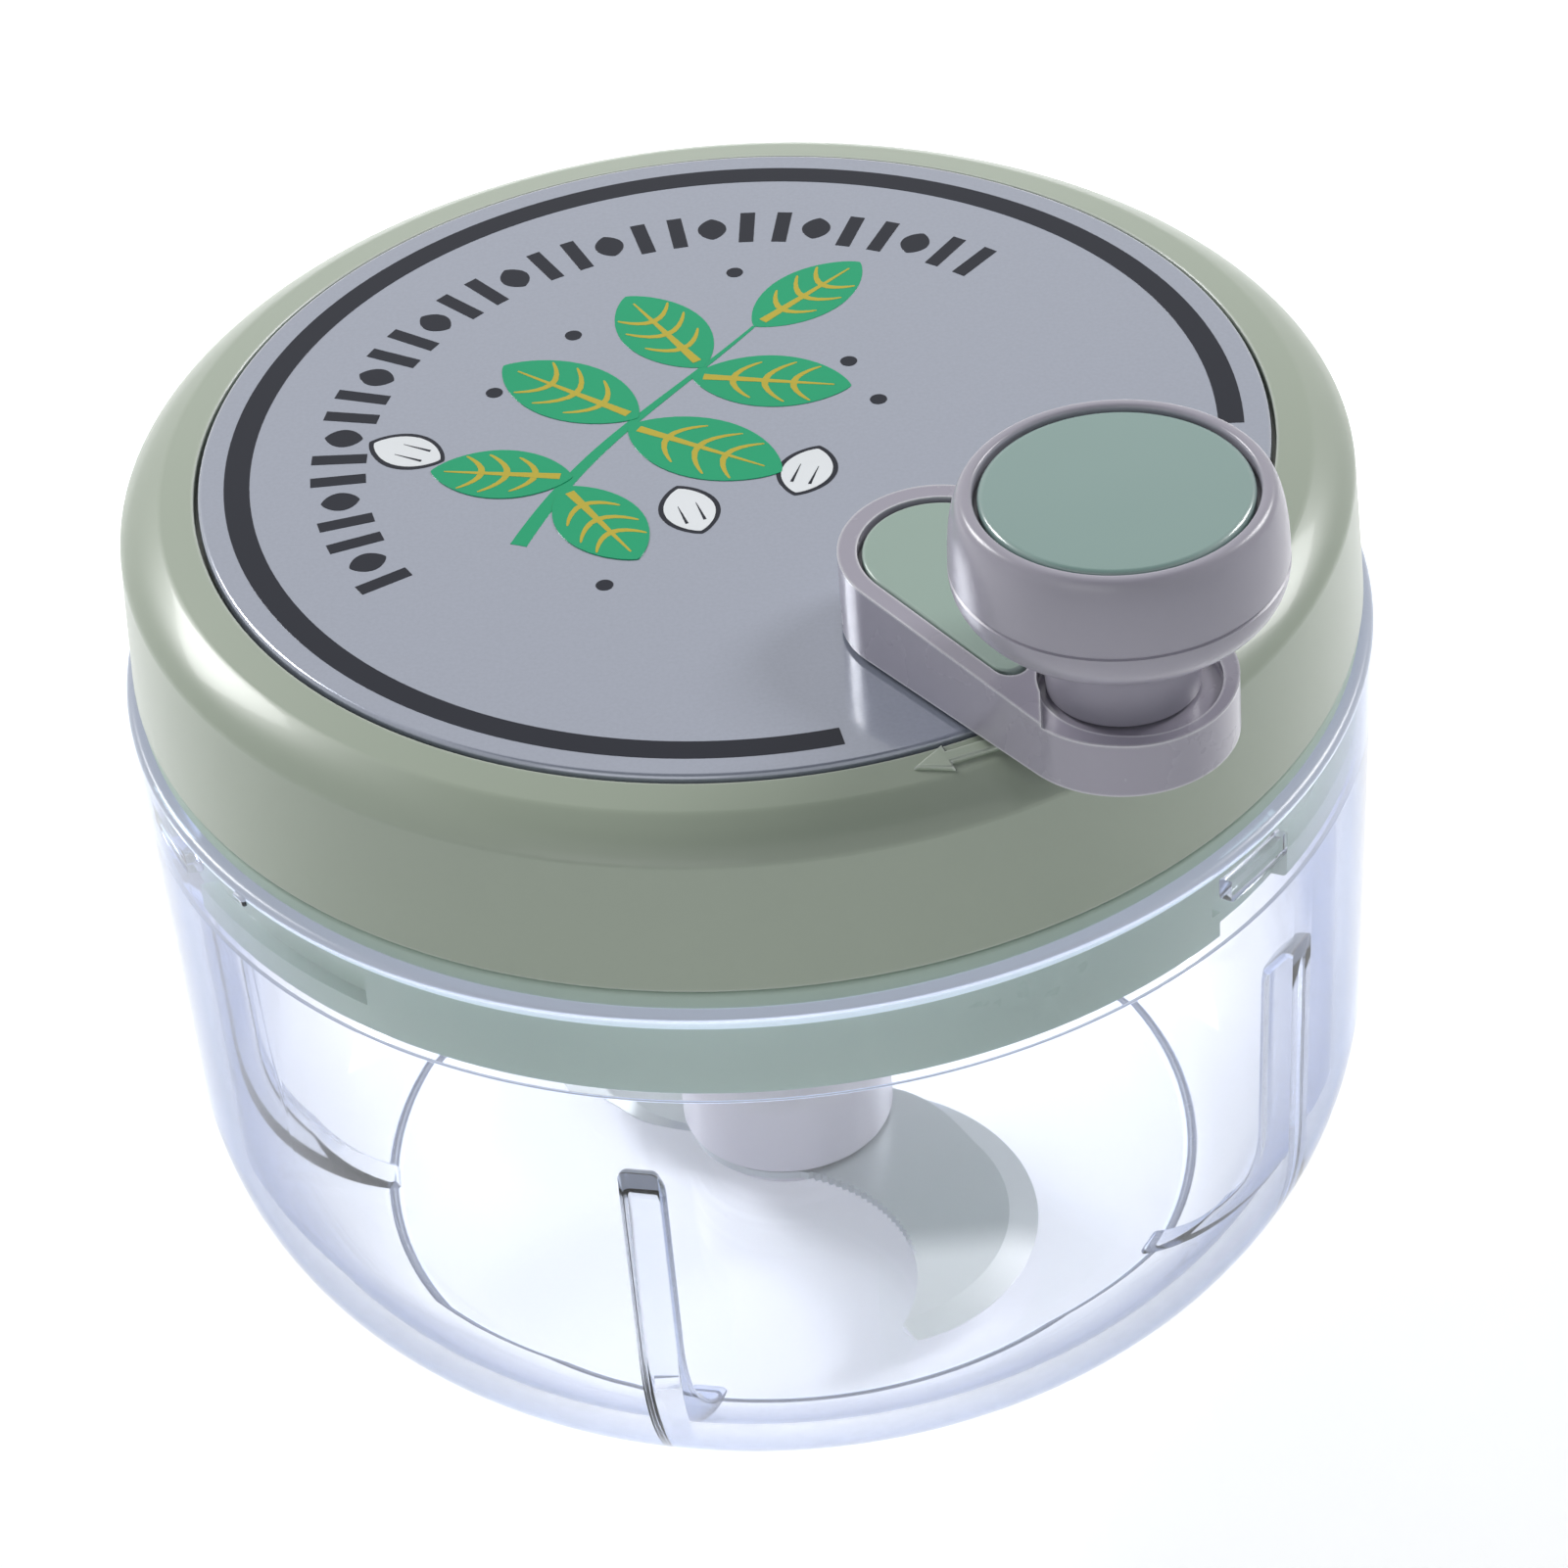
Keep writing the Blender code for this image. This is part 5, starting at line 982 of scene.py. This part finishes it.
def inlay_plan(sizes, lean, grow=0.0):
    """The arm inlay's plan: round at the pivot, hollow towards the knob."""
    radius = sizes.pivot_end - sizes.inlay_inset + grow
    corner = sizes.inlay_round
    end = sizes.scoop + sizes.inlay_end - grow
    knob = Vector((ARM_REACH, 0.0))
    along = Vector((math.cos(lean), math.sin(lean)))
    across = Vector((-along.y, along.x))
    drop = radius - corner
    reach = math.sqrt((end + corner) ** 2 - (drop - knob.dot(across)) ** 2)
    middle = across * drop + along * (knob.dot(along) - reach)
    meets = math.atan2(knob.y - middle.y, knob.x - middle.x)
    upper = arc(middle, corner, math.pi / 2 + lean, meets, 8)
    start = math.atan2(middle.y - knob.y, middle.x - knob.x)
    hollow = arc(knob, end, start, math.tau - start, 16)[1:-1]
    pivot = arc((0.0, 0.0), radius, -math.pi / 2 - lean, -3 * math.pi / 2 + lean, 40)
    return upper + hollow + [(x, -y) for x, y in upper[::-1]] + pivot


def sloped(bm, slope, verts=None):
    """Lower a shape's points as the arm's top falls towards the knob."""
    for vert in (bm.verts if verts is None else verts):
        vert.co.z -= slope * vert.co.x
    return bm


class CHOPPER_OT_crank(bpy.types.Operator):
    """Build the crank arm with its lowered end, and the inlay in its top"""
    bl_idname = "chopper.crank"
    bl_label = "Crank arm"

    def execute(self, context):
        sizes = context.scene.chopper_crank
        low = ARM_LOW[2]
        top = low + sizes.height
        platform = top - sizes.drop
        above = top + 3 * MM
        lean = math.asin((sizes.knob_end - sizes.pivot_end) / ARM_REACH)
        bm = raised(arm_plan(sizes, lean), low, top)
        sloped(bm, sizes.slope, [vert for vert in bm.verts if vert.co.z > top - MM])
        knob = (ARM_REACH, 0.0)
        bottom = low - MM
        floor = top - sizes.inlay_recess
        recess = raised(inlay_plan(sizes, lean, sizes.inlay_gap), floor, above)
        well = (ARM_REACH + sizes.well_past, 0.0)
        cuts = (raised(scoop_plan(sizes), platform, above),
                rod(sizes.well, platform - sizes.well_depth, above, 72, well),
                sloped(recess, sizes.slope),
                raised(flat_double(5.3 * MM, 3.9 * MM), bottom, low + 2.9 * MM),
                rod(5.3 * MM, bottom, low + 2.1 * MM, 40, knob),
                rod(3.5 * MM, floor - 2.2 * MM, above, 40),
                rod(SCREW_RADIUS, bottom, above, 24),
                rod(KNOB_PIN_RADIUS, bottom, above, 32, knob))
        for cut in cuts:
            bm = carved(bm, cut)
        on_top = higher_than(platform - 0.3 * MM)
        soften(bm, sizes.arm_edge, 3, 35.0, lambda e: e.is_convex and on_top(e))
        moved(bm, ARM_TURN, CRANK_AXIS)
        # Painted highlight: the lilac plastic is lighter along the convex edges of the arm and the
        # knob
        lilac = moulded("lilac_plastic", sizes.plastic, 0.27, coat=0.35, mottle=0.02, peel=0.05,
                        edge_highlight=0.6)
        piece("lilac_crank_arm", bm, "crank", lilac, ["crank_arm"], 32.0)
        bottom = floor + 0.3 * MM
        inlay = raised(inlay_plan(sizes, lean), bottom, bottom + 1.1 * MM)
        soften(inlay, 0.3 * MM, 3, 50.0, higher_than(bottom + MM))
        moved(sloped(inlay, sizes.slope), ARM_TURN, CRANK_AXIS)
        # Painted highlight: the inlay is lighter along its convex edges
        green = moulded("inlay_green", sizes.inlay, 0.28, coat=0.4, mottle=0.02, peel=0.05,
                        edge_highlight=0.45)
        piece("green_arm_inlay", inlay, "crank", green, ["arm_inlay"])
        return {"FINISHED"}


class CHOPPER_OT_knob(bpy.types.Operator):
    """Build the turned knob with its fine parting line, and its green cap"""
    bl_idname = "chopper.knob"
    bl_label = "Knob"

    def execute(self, context):
        sizes = context.scene.chopper_crank
        low = KNOB_LOW[2]
        top = KNOB_HIGH[2] - 0.25 * MM
        radius = (KNOB_HIGH[0] - KNOB_LOW[0]) / 2
        crown = 14.3 * MM
        recess = crown - sizes.knob_lip
        floor = CAP_LOW[2] - 0.3 * MM
        well = floor - 4.6 * MM
        belly = low + 13.4 * MM
        parting = radius - 0.02 * MM
        outline = [(KNOB_PIN_RADIUS, low), (7.0 * MM, low)]
        for *handles, steps in (
                ((7.0 * MM, low + 2.2 * MM), (7.1 * MM, low + 3.4 * MM),
                 (7.3 * MM, low + 4.6 * MM), 7),
                ((7.8 * MM, low + 7.1 * MM), (10.6 * MM, low + 7.3 * MM),
                 (12.9 * MM, low + 9.1 * MM), 12),
                ((14.5 * MM, low + 10.4 * MM), (radius, belly - 1.6 * MM), (radius, belly), 10)):
            outline += bend(outline[-1], *handles, steps)[1:]
        outline += [(radius - 0.20 * MM, belly + 0.12 * MM),
                    (radius - 0.20 * MM, belly + 0.28 * MM), (parting, belly + 0.42 * MM)]
        for *handles, steps in (
                ((parting, belly + 2.8 * MM), (crown + 0.55 * MM, top - 2.2 * MM),
                 (crown, top - 0.9 * MM), 10),
                ((crown - 0.2 * MM, top - 0.3 * MM), (crown - 0.6 * MM, top),
                 (crown - 1.0 * MM, top), 6)):
            outline += bend(outline[-1], *handles, steps)[1:]
        outline += bend((recess + 0.45 * MM, top), (recess + 0.15 * MM, top),
                        (recess, top - 0.15 * MM), (recess, top - 0.45 * MM), 5)
        outline += [(recess, floor), (6.0 * MM, floor), (6.0 * MM, well), (KNOB_PIN_RADIUS, well)]
        # The knob shares the arm's lilac plastic and its painted edge highlight
        lilac = bpy.data.materials["lilac_plastic"]
        piece("lilac_knob", turned(outline, 144, KNOB_AXIS), "knob", lilac,
              ["knob_body"], 40.0)
        edge = recess - sizes.groove
        high = CAP_HIGH[2]
        cap = [(0.0, CAP_LOW[2]), (edge, CAP_LOW[2]), (edge, high - 0.62 * MM)]
        cap += bend(cap[-1], (edge, high - 0.34 * MM), (edge - 0.2 * MM, high - 0.2 * MM),
                    (edge - 0.6 * MM, high - 0.14 * MM), 6)[1:]
        cap += [(edge * 0.66, high - 0.10 * MM), (edge * 0.33, high - 0.02 * MM), (0.0, high)]
        # Painted highlight: the cap is lighter along its rounded rim
        green = moulded("cap_green", sizes.cap, 0.24, coat=0.5, mottle=0.02, peel=0.05, edge_highlight=0.55)
        piece("green_knob_cap", turned(cap, 144, KNOB_AXIS), "knob", green,
              ["knob_cap"])
        return {"FINISHED"}


# Blade

def crossing(first, first_radius, second, second_radius):
    """Both points where two circles cross."""
    across = second - first
    gap = across.length
    along = (first_radius ** 2 - second_radius ** 2 + gap ** 2) / (2 * gap)
    off = math.sqrt(first_radius ** 2 - along ** 2)
    middle = first + across * (along / gap)
    side = Vector((-across.y, across.x)) * (off / gap)
    return middle + side, middle - side


def bearing_of(centre, point):
    """The angle of a point seen from a centre."""
    return math.atan2(point[1] - centre[1], point[0] - centre[0])


def blade_wing(sizes):
    """The wing's lines: cutting edge, bevel line, toothed back, and the waist to the next wing."""
    edge_centre = Vector((sizes.edge_centre_x, sizes.edge_centre_y))
    back_centre = Vector((sizes.back_centre_x, sizes.back_centre_y))
    origin = Vector((0.0, 0.0))
    tip = max(crossing(edge_centre, sizes.edge_radius, back_centre, sizes.back_radius),
              key=lambda p: p.length)
    edge_root = max(crossing(edge_centre, sizes.edge_radius, origin, sizes.waist),
                    key=lambda p: p.x)
    back_root = min(crossing(back_centre, sizes.back_radius, origin, sizes.waist),
                    key=lambda p: abs(p.x))
    start = bearing_of(edge_centre, edge_root)
    end = bearing_of(edge_centre, tip) + sizes.tip / sizes.edge_radius
    steps = 48
    edge = arc(edge_centre, sizes.edge_radius, start, end, steps)
    line = []
    for i in range(steps + 1):
        grow = min(1.0, i / steps / 0.3)
        width = sizes.bevel * (0.04 + 0.96 * grow * grow * (3.0 - 2.0 * grow))
        turn = start + (end - start) * i / steps
        line.append(polar(edge_centre, sizes.edge_radius - width, turn))
    back_start = bearing_of(back_centre, tip) + sizes.tip / sizes.back_radius
    back_end = bearing_of(back_centre, back_root)
    back = []
    steps = 72
    for i in range(steps + 1):
        toothed = 0.36 < i / steps < 0.96 and i % 2
        turn = back_start + (back_end - back_start) * i / steps
        back.append(polar(back_centre, sizes.back_radius + (sizes.tooth if toothed else 0.0), turn))
    waist = arc(origin, sizes.waist, bearing_of(origin, back_root),
                bearing_of(origin, edge_root) - math.pi, 8)[1:-1]
    return edge, line, back, waist


class CHOPPER_OT_blade(bpy.types.Operator):
    """Build the blade's hub, the ground S shaped blade and the cap under it"""
    bl_idname = "chopper.blade"
    bl_label = "Blade unit"

    def execute(self, context):
        sizes = context.scene.chopper_blade
        low, top = HUB_LOW[2], HUB_HIGH[2]
        outer = HUB_HIGH[0]
        shoulder = (outer - 0.4 * MM, low + 7.4 * MM)
        hub = [(0.0, low), (outer - 0.7 * MM, low), (outer - 0.2 * MM, low + 0.2 * MM),
               (outer, low + 0.7 * MM), shoulder]
        hub += bend(shoulder, (outer - 0.7 * MM, low + 10.0 * MM),
                    (8.2 * MM, low + 10.5 * MM), (8.0 * MM, low + 13.0 * MM), 9)[1:]
        hub += [(8.0 * MM, top - 0.8 * MM), (7.8 * MM, top - 0.3 * MM), (7.2 * MM, top), (0.0, top)]
        bm = turned(hub, 96)
        cap_low = FOOT_LOW[2]
        spigot_top = FOOT_HIGH[2]
        socket = raised(flat_double(SHAFT_RADIUS, 3.2 * MM), top - 13.3 * MM, top + MM)
        pocket = rod(SPIGOT_RADIUS, low - MM, spigot_top + 0.3 * MM, 48)
        bm = carved(bm, together([socket, pocket]))
        bm = carved(bm, rod(PIN_RADIUS, low - MM, 26.0 * MM, 32))
        # Painted highlight: the pale plastic of the hub and the blade's cap is lighter along its
        # convex edges
        white = moulded("pale_plastic", sizes.hub, 0.34, coat=0.2, mottle=0.02, edge_highlight=0.25)
        piece("pale_blade_hub", bm, "blade", white, ["blade_hub"])
        bottom, high = BLADE_LOW[2], BLADE_HIGH[2]
        edge, line, back, waist = blade_wing(sizes)
        sheet = bmesh.new()
        body_ring = []
        for sign in (1.0, -1.0):
            sharp, ground, hollow, middle = (
                [sheet.verts.new((sign * x, sign * y, height)) for x, y in points]
                for points, height in ((edge, bottom + 0.14 * MM), (line, high), (back, high),
                                       (waist, high)))
            for i in range(len(sharp) - 1):
                sheet.faces.new((sharp[i], sharp[i + 1], ground[i + 1], ground[i]))
            sheet.faces.new((sharp[-1], hollow[0], ground[-1]))
            body_ring += ground + hollow + middle
            if sign > 0.0:
                first_sharp = sharp[0]
                last_middle = middle[-1]
            else:
                sheet.faces.new((last_middle, sharp[0], ground[0]))
                sheet.faces.new((middle[-1], first_sharp, body_ring[0]))
        sheet.faces.new(body_ring)
        bmesh.ops.recalc_face_normals(sheet, faces=sheet.faces)
        for vert in grown(sheet):
            vert.co.z = bottom
        bmesh.ops.recalc_face_normals(sheet, faces=sheet.faces)
        sheet = carved(sheet, rod(SPIGOT_RADIUS, bottom - MM, high + MM, 48))
        # The blade's tips get a painted highlight in their colour
        steel = brushed("ground_steel", sizes.steel, 0.30, (0.2, 3.0, 1.0), 0.35, sizes.tip_highlight)
        piece("ground_blade", sheet, "blade", steel, ["blade"], 12.0)
        disc_top = cap_low + 1.6 * MM
        cap = turned([(PIN_RADIUS, cap_low), (9.0 * MM, cap_low), (9.0 * MM, disc_top),
                      (4.7 * MM, disc_top), (4.7 * MM, spigot_top), (PIN_RADIUS, spigot_top)], 80)
        soften(cap, 0.35 * MM, 3, 60.0)
        piece("pale_blade_cap", cap, "blade", white, ["blade_cap"])
        return {"FINISHED"}


class CHOPPER_OT_works(bpy.types.Operator):
    """Give the frame's own pieces, such as the gears, shafts and screws, their finishes"""
    bl_idname = "chopper.works"
    bl_label = "Gears and fastenings"

    def execute(self, context):
        steel = brushed("turned_steel", (0.58, 0.58, 0.60), 0.24, (1.0, 1.0, 9.0))
        bright = brushed("screw_steel", (0.52, 0.52, 0.54), 0.28, (7.0, 1.0, 1.0))
        nylon = moulded("bearing_nylon", (0.70, 0.69, 0.63), 0.45, mottle=0.04, peel=0.2)
        gear = moulded("gear_plastic", (0.72, 0.71, 0.70), 0.38, mottle=0.03, peel=0.12)
        rubber = moulded("seal_rubber", (0.30, 0.38, 0.33), 0.6, mottle=0.06, peel=0.35)
        finishes = (
            (steel, ("centre_pin", "idler_axle", "drive_shaft", "knob_pin")),
            (bright, ("cover_screw_1", "cover_screw_2", "cover_screw_3", "crank_screw",
                      "arm_screw", "knob_screw", "crank_washer", "knob_washer")),
            (nylon, ("crank_bush", "drive_bush", "crank_spindle")),
            (gear, ("crank_gear", "idler_gear", "drive_pinion")),
            (rubber, ("shaft_seal",)),
        )
        for material, names in finishes:
            for name in names:
                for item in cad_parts[name].material_slots:
                    item.material = material
        return {"FINISHED"}


# Stage

def rays_seen(nodes, links):
    """1 for what the camera sees straight, in a reflection or through clear plastic."""
    path = nodes.new("ShaderNodeLightPath")
    total = path.outputs["Is Camera Ray"]
    for name in ("Is Glossy Ray", "Is Transmission Ray"):
        step = nodes.new("ShaderNodeMath")
        step.operation = "MAXIMUM"
        links.new(total, step.inputs[0])
        links.new(path.outputs[name], step.inputs[1])
        total = step.outputs[0]
    return total


def lamp(name, place, aim, size, power):
    """A soft square lamp."""
    data = bpy.data.lights.new(name, "AREA")
    data.shape = "SQUARE"
    data.size = size
    data.energy = power
    item = bpy.data.objects.new(name, data)
    item.location = place
    item.rotation_euler = (Vector(aim) - Vector(place)).to_track_quat("-Z", "Y").to_euler()
    bpy.context.scene.collection.objects.link(item)


class CHOPPER_OT_stage(bpy.types.Operator):
    """Build the pale floor, the soft lamps, the room's light and the camera"""
    bl_idname = "chopper.stage"
    bl_label = "Stage"

    def execute(self, context):
        scene = context.scene
        sizes = scene.chopper_stage
        bm = bmesh.new()
        bmesh.ops.create_grid(bm, x_segments=8, y_segments=8, size=3.0)
        bmesh.ops.translate(bm, verts=bm.verts, vec=(0.0, 0.0, -0.2 * MM))
        floor = mesh_object("pale_floor", bm)
        material, nodes, links, shader = blank("pale_floor")
        shader.inputs["Base Color"].default_value = (0.93, 0.93, 0.93, 1.0)
        shader.inputs["Roughness"].default_value = 0.9
        shader.inputs["Specular IOR Level"].default_value = 0.1
        shader.inputs["Emission Color"].default_value = (1.0, 1.0, 1.0, 1.0)
        links.new(times(nodes, links, rays_seen(nodes, links), sizes.floor),
                  shader.inputs["Emission Strength"])
        floor.data.materials.append(material)
        world = bpy.data.worlds.new("studio")
        world.use_nodes = True
        scene.world = world
        nodes, links = world.node_tree.nodes, world.node_tree.links
        background = nodes["Background"]
        seen = rays_seen(nodes, links)
        links.new(tinted(nodes, links, seen, sizes.room, (1.0, 1.0, 1.0)),
                  background.inputs["Color"])
        coords = nodes.new("ShaderNodeTexCoord")
        split = nodes.new("ShaderNodeSeparateXYZ")
        links.new(coords.outputs["Generated"], split.inputs["Vector"])
        # How far up a direction points: 0 at the horizon and 1 overhead
        height = split.outputs["Z"]
        room = ranged(nodes, links, height, 0.0, 0.8, sizes.ambient, sizes.ambient * sizes.zenith)
        backdrop = ranged(nodes, links, height, 0.84, 0.91, 1.0, 0.05)
        level = nodes.new("ShaderNodeMix")
        for source, key in ((seen, "Factor"), (room, "A"), (backdrop, "B")):
            links.new(source, level.inputs[key])
        links.new(level.outputs["Result"], background.inputs["Strength"])
        aim = (0.0, 0.0, 0.05)
        lamp("key_lamp", (-0.95, 0.75, 1.0), aim, 0.5, sizes.key)
        lamp("fill_lamp", (1.0, 0.6, 0.95), aim, 0.5, sizes.fill)
        lamp("front_lamp", (-0.5, -1.1, 0.7), aim, 0.8, sizes.front)
        data = bpy.data.cameras.new("camera")
        data.sensor_width = 36.0
        data.sensor_fit = "HORIZONTAL"
        data.lens = sizes.lens
        data.clip_start = 0.01
        camera = bpy.data.objects.new("camera", data)
        # The camera's own axes and its place, in the frame's axes
        right = Vector((0.99669, -0.05015, -0.06391))
        up = Vector((0.08124, 0.61527, 0.78412))
        ahead = Vector((0.0, 0.78672, -0.61731))
        place = Vector((0.00227, -0.46768, 0.41672))
        rows = [(*row, shift) for row, shift in zip(zip(right, up, -ahead), place)]
        camera.matrix_world = Matrix(rows + [(0.0, 0.0, 0.0, 1.0)])
        scene.collection.objects.link(camera)
        scene.camera = camera
        scene.view_settings.view_transform = "Standard"
        return {"FINISHED"}


STEPS = (CHOPPER_OT_bowl, CHOPPER_OT_lid, CHOPPER_OT_cover, CHOPPER_OT_plate, CHOPPER_OT_crank,
         CHOPPER_OT_knob, CHOPPER_OT_blade, CHOPPER_OT_works, CHOPPER_OT_stage)


class CHOPPER_PT_panel(bpy.types.Panel):
    """Lists the sizes, the colours and the steps"""
    bl_label = "Garlic chopper"
    bl_idname = "CHOPPER_PT_panel"
    bl_space_type = "VIEW_3D"
    bl_region_type = "UI"
    bl_category = "Chopper"

    def draw(self, context):
        layout = self.layout
        for step in STEPS:
            layout.operator(step.bl_idname)
        for name, group in GROUPS.items():
            box = layout.box()
            box.label(text=name.replace("chopper_", "").capitalize())
            for key in group.__annotations__:
                box.prop(getattr(context.scene, name), key)


def register():
    """Add the groups, the operators and the panel."""
    for item in (*GROUPS.values(), *STEPS, CHOPPER_PT_panel):
        bpy.utils.register_class(item)
    for name, group in GROUPS.items():
        setattr(bpy.types.Scene, name, PointerProperty(type=group))


def unregister():
    """Take them out again."""
    for name in GROUPS:
        delattr(bpy.types.Scene, name)
    for item in reversed((*GROUPS.values(), *STEPS, CHOPPER_PT_panel)):
        bpy.utils.unregister_class(item)


def main():
    """Build every piece in order."""
    register()
    for step in STEPS:
        group, name = step.bl_idname.split(".")
        getattr(getattr(bpy.ops, group), name)()


if __name__ == "__main__":
    main()
